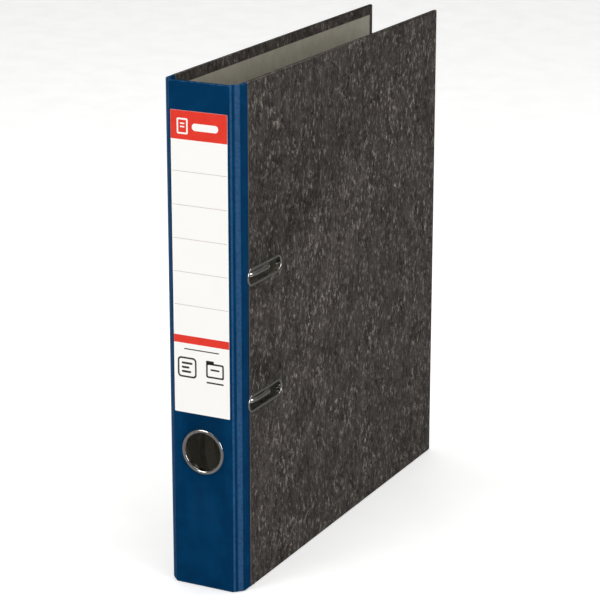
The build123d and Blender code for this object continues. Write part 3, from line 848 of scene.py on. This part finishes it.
@dataclass(frozen=True)
class Case:
    """Sizes of the case, read from the frame."""

    half_width: float
    spine_half: float
    joint_run: float
    spine_y: float
    lap_y: float
    fore_y: float
    height: float
    skin: float
    lined: float
    wall: float
    end_turn_in: float
    fore_turn_in: float

    @classmethod
    def from_frame(cls) -> "Case":
        """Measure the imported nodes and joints."""
        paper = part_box("front_cover_paper")
        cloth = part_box("spine_cloth")
        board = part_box("spine_board")
        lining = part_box("spine_lining")
        cover_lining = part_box("front_cover_lining")
        spine_crease = joint_point("front_strip_fold")
        cover_crease = joint_point("front_cover_open")
        return cls(
            half_width=paper[1].x,
            spine_half=spine_crease.x,
            joint_run=cover_crease.y - spine_crease.y,
            spine_y=cloth[0].y,
            lap_y=paper[0].y,
            fore_y=paper[1].y,
            height=paper[1].z,
            skin=board[0].y - cloth[0].y,
            lined=board[1].y - cloth[0].y,
            wall=cloth[1].y - cloth[0].y,
            end_turn_in=lining[0].z,
            fore_turn_in=paper[1].y - cover_lining[1].y,
        )

    @property
    def centre_mm(self) -> tuple[float, float, float]:
        """Middle of the case's box, in millimetres."""
        return (0.0, (self.spine_y + self.fore_y) / 2 / MM, self.height / 2 / MM)

    @property
    def half_size_mm(self) -> tuple[float, float, float]:
        """Half of the case's box, in millimetres."""
        return (self.half_width / MM, (self.fore_y - self.spine_y) / 2 / MM, self.height / 2 / MM)

    def spine_at(self, x: float) -> Station:
        """A station on the flat of the spine."""
        return Station((x, self.spine_y), (0.0, 1.0))

    def joint_at(self, side: Side, share: float) -> Station:
        """A station on a joint strip, from its spine crease (0) to its cover crease (1)."""
        x = side.value * (self.spine_half + share * self.joint_run)
        return Station((x, self.spine_y + share * self.joint_run), (-side.value * HALF_RIGHT, HALF_RIGHT))

    def cover_at(self, side: Side, y: float) -> Station:
        """A station on a cover."""
        return Station((side.value * self.half_width, y), (-side.value * 1.0, 0.0))

    def bend(self, side: Side, crease: "Crease", radius: float, steps: int) -> list[Station]:
        """Stations round a crease, on an arc that touches both of its faces.

        Args:
            side: Side of the case.
            crease: Which of the side's two creases.
            radius: Radius of the arc on the outer face.
            steps: Number of steps along the arc.

        Returns:
            The stations from the spine towards the fore edge.
        """
        corner, first_angle = crease.corner(self, side)
        middle = first_angle + HALF_BEND
        reach = radius / math.cos(HALF_BEND)
        inward = (-side.value * math.sin(middle), math.cos(middle))
        heart = (corner[0] + reach * inward[0], corner[1] + reach * inward[1])
        stations = []
        for step in range(steps + 1):
            angle = first_angle + 2 * HALF_BEND * step / steps
            way = (-side.value * math.sin(angle), math.cos(angle))
            stations.append(Station((heart[0] - radius * way[0], heart[1] - radius * way[1]), way))
        return stations


class Crease(Enum):
    """The two creases of a side: between spine and joint strip, and between joint strip and cover."""

    SPINE = 0
    COVER = 1

    def corner(self, case: Case, side: Side) -> tuple[Point2, float]:
        """The crease's point in plan, and the turn of the face before it in radians."""
        if self is Crease.SPINE:
            return (side.value * case.spine_half, case.spine_y), 0.0
        return (side.value * case.half_width, case.spine_y + case.joint_run), 2 * HALF_BEND

    def bodies(self, side: Side) -> tuple[Body, Body]:
        """The bodies before and after the crease, from the spine outwards."""
        return (Body.SPINE, side.strip) if self is Crease.SPINE else (side.strip, side.cover)


def swept_shell(
    name: str,
    stations: Sequence[Station],
    section: Sequence[Point2],
    finish: Finish,
) -> bpy.types.Object:
    """Closed shell made by carrying a closed section along stations of the case's plan.

    Args:
        name: The piece's name.
        stations: Places along the case's outer line.
        section: Closed outline as (depth under the face, level) pairs.
        finish: The piece's finish.

    Returns:
        The new object.
    """
    points = [station.at(under, level) for station in stations for under, level in section]
    count = len(section)
    faces: list[tuple[int, ...]] = grid_faces(len(stations), count)
    faces.append(tuple(range(count)))
    faces.append(tuple(reversed(range(len(points) - count, len(points)))))
    return mesh_piece(name, points, faces, finish)


def arc_points(centre: Point2, radius: float, start: float, end: float, steps: int) -> list[Point2]:
    """Points on an arc, angles in degrees, both ends included."""
    angles = [math.radians(start + (end - start) * step / steps) for step in range(steps + 1)]
    return [(centre[0] + radius * math.cos(angle), centre[1] + radius * math.sin(angle)) for angle in angles]


def wrap_section(case: Case, edge_radius: float) -> list[Point2]:
    """Section of covering that is turned in over the head and the tail.

    Args:
        case: The case's sizes.
        edge_radius: Rounding of the board's edges under the covering.

    Returns:
        A closed C outline as (depth under the face, level) pairs.
    """
    top, radius, wall, skin, lined = case.height, edge_radius, case.wall, case.skin, case.lined
    steps = 4
    outline = [(wall, case.end_turn_in)]
    outline += arc_points((wall - radius, radius), radius, 0, -90, steps)
    outline += arc_points((radius, radius), radius, -90, -180, steps)
    outline += arc_points((radius, top - radius), radius, 180, 90, steps)
    outline += arc_points((wall - radius, top - radius), radius, 90, 0, steps)
    outline += [
        (wall, top - case.end_turn_in),
        (lined, top - case.end_turn_in),
        (lined, top - skin),
        (skin, top - skin),
        (skin, skin),
        (lined, skin),
        (lined, case.end_turn_in),
    ]
    return outline


def plate_section(top: float, bottom: float, low: float, high: float) -> list[Point2]:
    """Section of a flat sheet between two depths and two levels."""
    return [(top, low), (top, high), (bottom, high), (bottom, low)]


def carved_block(
    name: str,
    lines: tuple[Sequence[float], Sequence[float], Sequence[float]],
    solid: Callable[[int, int, int], bool],
    finish: Finish,
    rounded: Callable[[Vector, Vector], bool],
    radius: float,
) -> bpy.types.Object:
    """Solid made of the cells of an uneven grid, with some edges rounded.

    Args:
        name: The piece's name.
        lines: The grid's rising X, Y and Z lines.
        solid: Tells whether the cell at three counts is solid.
        finish: The piece's finish.
        rounded: Tells whether the edge between two points is rounded.
        radius: Radius of the rounding.

    Returns:
        The new object.
    """
    counts = [len(axis) - 1 for axis in lines]

    def filled(cell: tuple[int, int, int]) -> bool:
        """Whether a cell lies in the grid and is solid."""
        return all(0 <= part < count for part, count in zip(cell, counts)) and solid(*cell)

    numbers: dict[tuple[int, int, int], int] = {}
    faces = []
    cells = [(i, j, k) for i in range(counts[0]) for j in range(counts[1]) for k in range(counts[2])]
    for cell in filter(filled, cells):
        for axis in range(3):
            one, two = (axis + 1) % 3, (axis + 2) % 3
            for shift in (0, 1):
                beside = list(cell)
                beside[axis] += 2 * shift - 1
                if filled(tuple(beside)):
                    continue
                face = []
                for step_one, step_two in ((0, 0), (1, 0), (1, 1), (0, 1)):
                    corner = list(cell)
                    corner[axis] += shift
                    corner[one] += step_one
                    corner[two] += step_two
                    face.append(numbers.setdefault(tuple(corner), len(numbers)))
                faces.append(face)
    points = [tuple(lines[axis][corner[axis]] for axis in range(3)) for corner in numbers]
    piece = mesh_piece(name, points, faces, finish)
    shape = bmesh.new()
    shape.from_mesh(piece.data)
    edges = [edge for edge in shape.edges if rounded(edge.verts[0].co, edge.verts[1].co)]
    bmesh.ops.bevel(shape, geom=edges, offset=radius, segments=4, profile=0.5, affect="EDGES")
    shape.to_mesh(piece.data)
    shape.free()
    piece.data.shade_smooth()
    piece.data.set_sharp_from_angle(angle=math.radians(SHARP_ANGLE))
    return piece


@dataclass(frozen=True)
class Oblong:
    """An opening with straight sides and round ends, or a round one if it has no straight."""

    centre: Vector
    along: Vector
    up: Vector
    out: Vector
    radius: float
    straight: float = 0.0
    steps: int = 24

    def point(self, count: int, offset: float, height: float) -> Vector:
        """A point beside the opening's outline.

        Args:
            count: Which point of the outline.
            offset: How far outside the opening's edge.
            height: How far out of the face.

        Returns:
            The point in the row frame.
        """
        if self.straight:
            end, step = divmod(count, self.steps + 1)
        else:
            end, step = divmod(count, self.steps)
        turn = math.pi * (step / self.steps + end - 0.5)
        reach = self.radius + offset
        along = (0.5 - end) * self.straight + reach * math.cos(turn)
        return self.centre + self.along * along + self.up * (reach * math.sin(turn)) + self.out * height

    @property
    def count(self) -> int:
        """Number of points round the outline."""
        return 2 * (self.steps + 1) if self.straight else 2 * self.steps

    def ring(self, name: str, profile: Sequence[Point2], finish: Finish) -> bpy.types.Object:
        """Closed ring round the opening, from a closed profile of (offset, height) pairs.

        Args:
            name: The piece's name.
            profile: The ring's section, all the way round it.
            finish: Its finish.

        Returns:
            The new piece.
        """
        counts = range(self.count)
        points = [self.point(count, offset, height) for offset, height in profile for count in counts]
        faces = grid_faces(len(profile), self.count, wrap_rows=True)
        return mesh_piece(name, points, faces, finish, smooth_angle=50.0)

    def plug(self, offset: float, low: float, high: float) -> bpy.types.Object:
        """Cutter that fills the opening between two heights.

        Args:
            offset: How far the cutter reaches outside the opening's edge.
            low: Where it starts.
            high: Where it ends.

        Returns:
            The cutter.
        """
        points = [self.point(count, offset, height) for height in (low, high) for count in range(self.count)]
        faces: list[tuple[int, ...]] = grid_faces(2, self.count)
        faces += [tuple(range(self.count)), tuple(reversed(range(self.count, 2 * self.count)))]
        return mesh_piece("cutter", points, faces, PlainPaper("cutter"))


# ---- Coverings -------------------------------------------------------------------------------------

BLEND_REACH = 2.6 * MM  # a covering bends this far on each side of a crease
CREASE_RADIUS = 2.6 * MM
CREASE_STEPS = 8
EDGE_RADIUS = 0.7 * MM


@dataclass
class Covering:
    """A sheet round the case from cover to cover, with a panel for each body and a bend for each crease.

    Attributes:
        case: The case's sizes.
        name: What its pieces' names start with.
        slot: The record's material slot.
        finish: Its finish.
        section: Closed section that is carried round the case.
        cover_end: How far along Y it reaches on the covers.
        replaced: The CAD nodes' last word.
        cutters: Makers of the cutters for each body's panel.
    """

    case: Case
    name: str
    slot: str
    finish: Finish
    section: Sequence[Point2]
    cover_end: float
    replaced: str
    cutters: dict[Body, list[Callable[[], bpy.types.Object]]] = field(default_factory=dict)

    def build(self) -> None:
        """Build every panel and every bend."""
        case = self.case
        flat = case.spine_half - BLEND_REACH
        share = BLEND_REACH * HALF_RIGHT / case.joint_run
        stations = [case.spine_at(-flat), case.spine_at(flat)]
        self.panel("spine", Body.SPINE, stations, [f"spine_{self.replaced}"])
        for side in Side:
            strip = [case.joint_at(side, share), case.joint_at(side, 1 - share)]
            self.panel(f"{side.word}_joint", side.strip, strip, [f"{side.word}_joint_{self.replaced}"])
            first = case.spine_y + case.joint_run + BLEND_REACH
            cover = [case.cover_at(side, first), case.cover_at(side, self.cover_end)]
            self.panel(f"{side.word}_cover", side.cover, cover, [f"{side.word}_cover_{self.replaced}"])
            for crease in Crease:
                self.bend(side, crease, share)

    def panel(self, word: str, body: Body, stations: Sequence[Station], replaced: Sequence[str]) -> None:
        """Build the flat part that rides on one body.

        Args:
            word: Last part of the piece's name.
            body: The body.
            stations: The places that it runs through.
            replaced: CAD nodes that it stands for.
        """
        piece = swept_shell(f"{self.name}_{word}", stations, self.section, self.finish)
        for maker in self.cutters.get(body, []):
            cut_with(piece, maker())
        finished(piece, body, self.slot, replaced)

    def bend(self, side: Side, crease: Crease, share: float) -> None:
        """Build the part that bends at a crease.

        Args:
            side: Side of the case.
            crease: Which of the side's creases.
            share: Share of the joint strip that the bend takes up.
        """
        case = self.case
        if crease is Crease.SPINE:
            before = case.spine_at(side.value * (case.spine_half - BLEND_REACH))
            after = case.joint_at(side, share)
        else:
            before = case.joint_at(side, 1 - share)
            after = case.cover_at(side, case.spine_y + case.joint_run + BLEND_REACH)
        stations = [before, *case.bend(side, crease, CREASE_RADIUS, CREASE_STEPS), after]
        word = f"{side.word}_{crease.name.lower()}_crease"
        piece = swept_shell(f"{self.name}_{word}", stations, self.section, self.finish)
        middle = case.height / 2
        before.at(0.0, middle)
        after.at(0.0, middle)
        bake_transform(piece)
        registered(piece, self.slot)


@dataclass
class CoverPaper:
    """The clouded paper on one cover, turned in round the head, the tail and the fore edge."""

    case: Case
    side: Side
    finish: Finish
    cutters: list[Callable[[], bpy.types.Object]] = field(default_factory=list)

    def build(self) -> None:
        """Build the sheet as a hollow block, open towards the lining and the joint."""
        case = self.case
        depths = (0.0, case.skin, case.lined, case.wall)
        ys = (case.lap_y, case.fore_y - case.fore_turn_in, case.fore_y - case.skin, case.fore_y)
        zs = (0.0, case.skin, case.end_turn_in)
        zs = (*zs, *(case.height - level for level in reversed(zs)))
        outer = self.side.value * case.half_width
        xs = [outer - self.side.value * depth for depth in depths]
        flip = xs[0] > xs[-1]
        xs = sorted(xs)

        def solid(i: int, j: int, k: int) -> bool:
            """Whether a cell is paper: not board, and not the recess for the lining.

            Args:
                i: Its count along X.
                j: Its count along Y.
                k: Its count along Z.

            Returns:
                True where there is paper.
            """
            layer = 2 - i if flip else i
            if layer == 0 or k in (0, 4) or j == 2:
                return True
            return layer == 2 and (j == 1 or k in (1, 3))

        def same_face(first: float, second: float, *faces: float) -> bool:
            """Whether two coordinates lie on the same one of some faces."""
            return any(abs(first - face) < NEAR and abs(second - face) < NEAR for face in faces)

        def rounded(one: Vector, two: Vector) -> bool:
            """Whether an edge runs along the board's outer edges, where two outer faces meet.

            Args:
                one: The edge's first point.
                two: Its second point.

            Returns:
                True where the edge is rounded.
            """
            on_faces = (
                same_face(one.x, two.x, xs[0], xs[-1]),
                same_face(one.y, two.y, case.fore_y),
                same_face(one.z, two.z, 0.0, case.height),
            )
            return sum(on_faces) >= 2

        piece = carved_block(
            f"{self.side.word}_cover_sheet", (xs, ys, zs), solid, self.finish, rounded, EDGE_RADIUS
        )
        for maker in self.cutters:
            cut_with(piece, maker())
        finished(piece, self.side.cover, "marbled_paper", [f"{self.side.word}_cover_paper"])


# ---- Furniture -------------------------------------------------------------------------------------


CUT_NECKS = 4  # a cutter reaches this many necks and CUT_UNDER more below the face, well through the wall
CUT_UNDER = 6 * MM
CUT_OVER = 2 * MM
CUT_SLACK = 0.02 * MM
ARC_STEPS = 8
CURL_STEPS = 12


@dataclass
class RolledEyelet:
    """A sheet-metal eyelet: a rolled rim outside, a neck through the wall and a curl inside.

    Attributes:
        name: The piece's name.
        opening: Its opening.
        rim: How far the rim reaches beside the opening.
        proud: How far the rim stands out of the face.
        neck: Wall of the neck.
        depth: How far the curl reaches under the face.
        curl: How far the curl reaches beside the opening.
        body: The body that it rides on.
        finish: Its finish.
        roll: How far in the rim's outer side curves.
        lip: Most that the rim's inner side takes up.
        slope: Height of the inner side as a share of its width.
        tuck: Height of the curl.
    """

    name: str
    opening: Oblong
    rim: float
    proud: float
    neck: float
    depth: float
    curl: float
    body: Body
    finish: Finish
    roll: float = 0.9 * MM
    lip: float = 1.2 * MM
    slope: float = 0.7
    tuck: float = 0.45 * MM

    def profile(self) -> list[Point2]:
        """Closed section as (offset from the opening, height over the face) pairs."""
        lip = min(self.rim - 0.8 * MM, self.lip)
        fall = self.slope * lip
        points = []
        for step in range(ARC_STEPS + 1):
            angle = math.pi / 2 * step / ARC_STEPS
            reach = self.rim - self.roll + self.roll * math.cos(angle)
            points.append((reach, self.proud * math.sin(angle)))
        for step in range(ARC_STEPS + 1):
            angle = math.pi / 2 * (1 + step / ARC_STEPS)
            points.append((lip + lip * math.cos(angle), self.proud - fall + fall * math.sin(angle)))
        under = self.tuck - self.depth
        for step in range(CURL_STEPS + 1):
            angle = math.pi * (1 + step / CURL_STEPS)
            points.append((self.curl / 2 * (1 + math.cos(angle)), under + self.tuck * math.sin(angle)))
        points += [(self.neck, under), (self.neck, 0.0)]
        return points

    def build(self) -> None:
        """Build the eyelet in place of its CAD node."""
        piece = self.opening.ring(f"{self.name}_metal", self.profile(), self.finish)
        finished(piece, self.body, "nickel", [self.name])

    def cutter(self, slack: float = 0.0) -> Callable[[], bpy.types.Object]:
        """Maker of a cutter for the wall that the neck passes through."""
        return lambda: self.opening.plug(self.neck + slack, -CUT_NECKS * self.neck - CUT_UNDER, CUT_OVER)


CORNER_STEPS = 6
PRINT_LIFT = 0.02 * MM
WHITE_LIFT = 0.04 * MM  # the white print lies on the red band
PRINT_MARGIN = 0.05
RULE_MARGIN = 0.6


@dataclass
class Print:
    """Flat shapes printed in one colour on the spine label.

    Each shape is one closed loop, or an outer and an inner loop of the same length. A loop holds
    (right, down) pairs in millimetres from the label's upper left corner.
    """

    name: str
    finish: Finish
    shapes: list[list[list[Point2]]] = field(default_factory=list)

    def add(self, *loops: list[Point2]) -> None:
        """Add a shape."""
        self.shapes.append(list(loops))

    def build(self, corner: Vector, lift: float) -> bpy.types.Object:
        """Build all the shapes as one thin plate.

        Args:
            corner: The label's upper left corner on its face.
            lift: How far the print stands out of the label.

        Returns:
            The new piece.
        """
        points: list[Vector] = []
        faces: list[tuple[int, ...]] = []
        for loops in self.shapes:
            rings = [
                [corner + Vector((right * MM, -height, -down * MM)) for right, down in loop]
                for height in (0.0, lift)
                for loop in loops
            ]
            start, count = len(points), len(loops[0])
            for ring in rings:
                points += ring
            if len(loops) == 1:
                faces += [tuple(range(start, start + count)), tuple(range(start + count, start + 2 * count))]
                order = ((0, 1),)
            else:
                order = ((0, 1), (1, 3), (3, 2), (2, 0))
            for one, two in order:
                first, second = start + one * count, start + two * count
                for step in range(count):
                    beside = (step + 1) % count
                    faces.append((first + step, first + beside, second + beside, second + step))
        piece = mesh_piece(self.name, points, faces, self.finish)
        return finished(piece, Body.SPINE, "label_paper")


def rounded_loop(left: float, top: float, width: float, height: float, radius: float) -> list[Point2]:
    """Rectangle with round corners as a loop of (right, down) pairs.

    Args:
        left: Its left side.
        top: Its upper side.
        width: Its width.
        height: Its height.
        radius: Radius of its corners.

    Returns:
        The loop.
    """
    low, high = left + radius, left + width - radius
    upper, lower = top + radius, top + height - radius
    loop = []
    for right, down, start in ((high, upper, -90), (high, lower, 0), (low, lower, 90), (low, upper, 180)):
        loop += arc_points((right, down), radius, start, start + 90, CORNER_STEPS)
    return loop


@dataclass
class SpineLabel:
    """The white spine label with its plain print, without any lettering."""

    paper: Finish
    red: Finish
    dark: Finish
    white: Finish
    rule: Finish
    band: float = 17.4
    stripe_top: float = 138.3
    stripe: float = 4.9
    first_rule: float = 36.6
    rule_pitch: float = 20.6
    rule_count: int = 5

    def build(self) -> None:
        """Build the label and what is printed on it."""
        low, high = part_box("spine_label")
        width, height = (high.x - low.x) / MM, (high.z - low.z) / MM
        thickness = high.y - low.y
        corner = Vector((low.x, high.y, high.z))
        sheet = Print("label_sheet", self.paper)
        sheet.add(rounded_loop(0, 0, width, height, 0.5))
        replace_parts(sheet.build(corner, thickness), "spine_label")
        face = Vector((low.x, low.y, high.z))
        self.red_print(width).build(face, PRINT_LIFT)
        self.rules(width).build(face, PRINT_LIFT)
        self.dark_print().build(face, PRINT_LIFT)
        self.white_print().build(face, WHITE_LIFT)

    def red_print(self, width: float) -> Print:
        """The band and the stripe.

        Args:
            width: The label's width in millimetres.

        Returns:
            The print.
        """
        shapes = Print("label_red_print", self.red)
        inner = width - 2 * PRINT_MARGIN
        shapes.add(rounded_loop(PRINT_MARGIN, PRINT_MARGIN, inner, self.band, 0.45))
        shapes.add(rounded_loop(PRINT_MARGIN, self.stripe_top, inner, self.stripe, 0.05))
        return shapes

    def dark_print(self) -> Print:
        """The thin bar under the stripe and two small icons: a list and a folder."""
        shapes = Print("label_dark_print", self.dark)
        shapes.add(rounded_loop(7.0, 146.4, 24.0, 0.7, 0.3))
        shapes.add(rounded_loop(2.4, 152.0, 13.0, 13.0, 2.4), rounded_loop(3.5, 153.1, 10.8, 10.8, 1.5))
        for count, long in enumerate((7.4, 5.2, 6.4)):
            shapes.add(rounded_loop(5.2, 155.2 + 2.7 * count, long, 1.3, 0.6))
        shapes.add(rounded_loop(22.0, 153.6, 12.2, 9.4, 1.2), rounded_loop(23.1, 154.7, 10.0, 7.2, 0.6))
        shapes.add(rounded_loop(22.0, 152.2, 5.4, 2.2, 0.6))
        shapes.add(rounded_loop(25.0, 157.2, 6.2, 1.1, 0.5))
        shapes.add(rounded_loop(22.2, 165.6, 11.8, 1.0, 0.45))
        return shapes

    def white_print(self) -> Print:
        """A blank page and a plain bar on the red band."""
        shapes = Print("label_white_print", self.white)
        shapes.add(rounded_loop(4.2, 4.6, 7.4, 9.6, 0.9), rounded_loop(5.2, 5.6, 5.4, 7.6, 0.4))
        shapes.add(rounded_loop(6.4, 7.4, 3.0, 0.8, 0.35))
        shapes.add(rounded_loop(6.4, 9.4, 3.0, 0.8, 0.35))
        shapes.add(rounded_loop(14.4, 7.2, 17.6, 4.4, 2.1))
        return shapes

    def rules(self, width: float) -> Print:
        """Thin rules to write between.

        Args:
            width: The label's width in millimetres.

        Returns:
            The print.
        """
        shapes = Print("label_rules", self.rule)
        for count in range(self.rule_count):
            top = self.first_rule + self.rule_pitch * count
            shapes.add(rounded_loop(RULE_MARGIN, top, width - 2 * RULE_MARGIN, 0.3, 0.1))
        return shapes


# ---- The rest of the file --------------------------------------------------------------------------


@dataclass
class CadFinishes:
    """Finishes for the CAD parts whose shape stays as it is."""

    finishes: dict[str, Finish]

    def build(self) -> None:
        """Give every CAD part in the table its finish."""
        for words, finish in self.finishes.items():
            for name in words.split():
                node = frame["nodes"][name]
                for place in node.material_slots:
                    place.material = finish.material()
                LOG.info("%s: keeps its CAD shape, finish %s", name, finish.name)


@dataclass(frozen=True)
class SoftLight:
    """A square area light: its name, place, side and power."""

    name: str
    place: tuple[float, float, float]
    size: float
    power: float


SOFT_LIGHTS = (
    SoftLight("key_light", (-0.75, -1.5, 1.05), 0.75, 9.5),
    SoftLight("side_light", (1.6, -0.5, 0.7), 0.9, 8.5),
    SoftLight("top_light", (0.1, 0.2, 1.7), 1.3, 9.0),
)


@dataclass
class Studio:
    """Plain pale floor, soft lights and the camera.

    Attributes:
        floor: The floor's finish.
        focus: What the lights point at.
        ambient: Strength of the light from all round.
        mirrored: Strength of the same where it is mirrored.
        eye: The camera's place.
        down: How far the camera looks down, in degrees.
        turn: How far it is turned to the left, in degrees.
        lens: Its focal length in millimetres.
    """

    floor: Finish
    focus: Vector
    ambient: float = 0.62
    mirrored: float = 0.14
    eye: tuple[float, float, float] = (0.6636, -1.3138, 0.5964)
    down: float = 16.97
    turn: float = 27.01
    lens: float = 141.3

    def build(self) -> None:
        """Build the whole studio."""
        self.add_floor()
        self.add_world()
        for light in SOFT_LIGHTS:
            self.add_light(light)
        self.add_camera()

    def add_floor(self) -> None:
        """Lay the floor, curved up into a far wall."""
        depth, height, radius, half, gap = 6.0, 5.0, 1.5, 8.0, 0.2 * MM
        line = [(-depth, 0.0)]
        line += arc_points((depth - radius, radius), radius, -90, 0, 16)
        line.append((depth, height))
        points = [(x, y, z - gap) for y, z in line for x in (-half, half)]
        faces = [(2 * row, 2 * row + 1, 2 * row + 3, 2 * row + 2) for row in range(len(line) - 1)]
        floor = mesh_piece("floor", points, faces, self.floor)

    def add_world(self) -> None:
        """Light from all round, darker where it is mirrored, as with black cards round bright metal."""
        world = bpy.data.worlds.new("studio")
        world.use_nodes = True
        bpy.context.scene.world = world
        graph = Graph(world.node_tree)
        gloss = graph.node("LightPath").outputs["Is Glossy Ray"]
        strength = graph.ramp(gloss, 0.0, 1.0, (self.ambient, self.mirrored))
        ground = graph.node("Background", Color=WHITE, Strength=strength)
        output = graph.node("OutputWorld")
        graph.feed(output.inputs["Surface"], ground.outputs[0])

    def add_light(self, light: SoftLight) -> None:
        """Add an area light that points at the file.

        Args:
            light: The light's sizes.
        """
        data = bpy.data.lights.new(light.name, "AREA")
        data.size = light.size
        data.energy = light.power
        lamp = bpy.data.objects.new(light.name, data)
        lamp.location = light.place
        lamp.rotation_euler = (self.focus - Vector(light.place)).to_track_quat("-Z", "Y").to_euler()
        bpy.context.scene.collection.objects.link(lamp)

    def add_camera(self) -> None:
        """Stand the camera in front, to the right and a little above, and show colours as they are."""
        bpy.context.scene.view_settings.view_transform = "Standard"
        data = bpy.data.cameras.new("camera")
        data.lens = self.lens
        data.sensor_width = 36.0
        data.dof.use_dof = False
        camera = bpy.data.objects.new("camera", data)
        camera.location = self.eye
        camera.rotation_euler = Euler((math.radians(90 - self.down), 0.0, math.radians(self.turn)))
        bpy.context.scene.collection.objects.link(camera)
        bpy.context.scene.camera = camera


def furniture(case: Case, metal: Finish) -> tuple[RolledEyelet, list[RolledEyelet]]:
    """Work out the thumb ring and the two cover eyelets from their CAD nodes.

    Args:
        case: The case's sizes.
        metal: Their finish.

    Returns:
        The thumb ring and the eyelets.
    """
    low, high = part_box("thumb_ring")
    mounts = frame["record"]["mounts"]
    bore = next(mount["dims"]["r_mm"] for mount in mounts if mount["name"] == "thumb_ring") * MM
    ring = RolledEyelet(
        name="thumb_ring",
        opening=Oblong(
            centre=Vector(((low.x + high.x) / 2, case.spine_y, (low.z + high.z) / 2)),
            along=Vector((1, 0, 0)),
            up=Vector((0, 0, 1)),
            out=Vector((0, -1, 0)),
            radius=bore,
            steps=48,
        ),
        rim=(high.x - low.x) / 2 - bore,
        proud=case.spine_y - low.y,
        neck=0.55 * MM,
        depth=high.y - case.spine_y,
        curl=1.6 * MM,
        body=Body.SPINE,
        finish=metal,
    )
    eyelets = []
    for word in ("lower", "upper"):
        low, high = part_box(f"eyelet_{word}")
        rim = 1.8 * MM
        radius = (high.z - low.z) / 2 - rim
        eyelets.append(
            RolledEyelet(
                name=f"eyelet_{word}",
                opening=Oblong(
                    centre=Vector((case.half_width, (low.y + high.y) / 2, (low.z + high.z) / 2)),
                    along=Vector((0, 1, 0)),
                    up=Vector((0, 0, 1)),
                    out=Vector((1, 0, 0)),
                    radius=radius,
                    straight=(high.y - low.y) - (high.z - low.z),
                ),
                rim=rim,
                proud=high.x - case.half_width,
                neck=0.65 * MM,
                depth=case.half_width - low.x,
                curl=1.3 * MM,
                body=Body.FRONT_COVER,
                finish=metal,
            )
        )
    return ring, eyelets


@dataclass(frozen=True)
class Palette:
    """Every finish of the file and its floor."""

    nickel: Finish
    zinc: Finish
    spring_steel: Finish
    rubber: Finish
    clouded: Finish
    blue: Finish
    lining: Finish
    board: Finish
    label: Finish
    red: Finish
    rule: Finish
    charcoal: Finish
    floor: Finish

    @classmethod
    def mixed(cls, case: Case) -> "Palette":
        """Mix the finishes for a case.

        Args:
            case: The case's sizes.

        Returns:
            The palette.
        """
        tint = display_colour
        box = {"centre": case.centre_mm, "half_size": case.half_size_mm}
        matt = {"tooth": 1.5, "roughness": (0.4, 0.5), "relief": 0.05}
        return cls(
            nickel=Metal("bright_nickel", roughness=(0.06, 0.14)),
            zinc=Metal("zinc_steel", tint(196, 196, 192), tint(150, 148, 142), (0.24, 0.4), 0.12),
            spring_steel=Metal("spring_steel", tint(120, 120, 122), tint(84, 82, 80), (0.3, 0.45), 0.1),
            rubber=MouldedPlastic("roller_plastic"),
            clouded=CloudedPaper("clouded_paper", lap=case.lap_y / MM, **box),
            blue=BlueCovering("blue_covering", crease=(case.spine_half / MM, case.spine_y / MM), **box),
            lining=PlainPaper("grey_lining", tint(150, 146, 132), tint(166, 162, 149), tooth=1.3),
            board=PlainPaper("grey_board", tint(138, 132, 122), tint(160, 154, 144), tooth=1.6),
            label=PlainPaper("label_paper", tint(207, 202, 191), tint(213, 208, 197), 1.4, (0.4, 0.5), 0.08),
            red=PlainPaper("label_red", tint(222, 44, 26), tint(230, 52, 32), 1.5, (0.38, 0.46), 0.05),
            rule=PlainPaper("label_rule", tint(190, 172, 166), tint(198, 182, 176), **matt),
            charcoal=PlainPaper("label_dark", tint(38, 38, 38), tint(52, 51, 50), **matt),
            floor=StudioFloor(
                "pale_floor", tint(244, 244, 243), tint(248, 248, 247), 0.2, (0.55, 0.65), 0.02
            ),
        )

    def for_cad(self) -> dict[str, Finish]:
        """Finishes of the CAD parts whose shape stays, by the parts' names."""
        return {
            "back_cover_board back_joint_board spine_board front_joint_board front_cover_board": self.board,
            "thumb_ring_washer eyelet_washer_lower eyelet_washer_upper mounting_rivets": self.nickel,
            "arch_wire lever": self.nickel,
            "base_plate post_lower post_upper press_bar lever_pin roller_pin": self.zinc,
            "opening_spring": self.spring_steel,
            "roller": self.rubber,
        }


def main() -> None:
    """Build the file and its studio."""
    logging.basicConfig(level=logging.INFO, format="%(name)s: %(message)s", stream=sys.stdout)
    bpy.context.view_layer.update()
    case = Case.from_frame()
    palette = Palette.mixed(case)
    ring, eyelets = furniture(case, palette.nickel)
    slots = [eyelet.cutter(CUT_SLACK) for eyelet in eyelets]
    cutters = {Body.SPINE: [ring.cutter(CUT_SLACK)], Body.FRONT_COVER: slots}

    outer = wrap_section(case, EDGE_RADIUS)
    inner = plate_section(case.lined, case.wall, case.end_turn_in, case.height - case.end_turn_in)
    lining_end = case.fore_y - case.fore_turn_in
    Covering(case, "blue_covering", "spine_blue", palette.blue, outer, case.lap_y, "cloth", cutters).build()
    Covering(case, "lining", "lining_paper", palette.lining, inner, lining_end, "lining", cutters).build()
    CoverPaper(case, Side.BACK, palette.clouded).build()
    CoverPaper(case, Side.FRONT, palette.clouded, slots).build()
    for eyelet in (ring, *eyelets):
        eyelet.build()
    SpineLabel(palette.label, palette.red, palette.charcoal, palette.label, palette.rule).build()
    CadFinishes(palette.for_cad()).build()
    Studio(palette.floor, Vector((0.0, 0.0, case.height / 2))).build()
    bpy.context.view_layer.update()


if __name__ == "__main__":
    main()
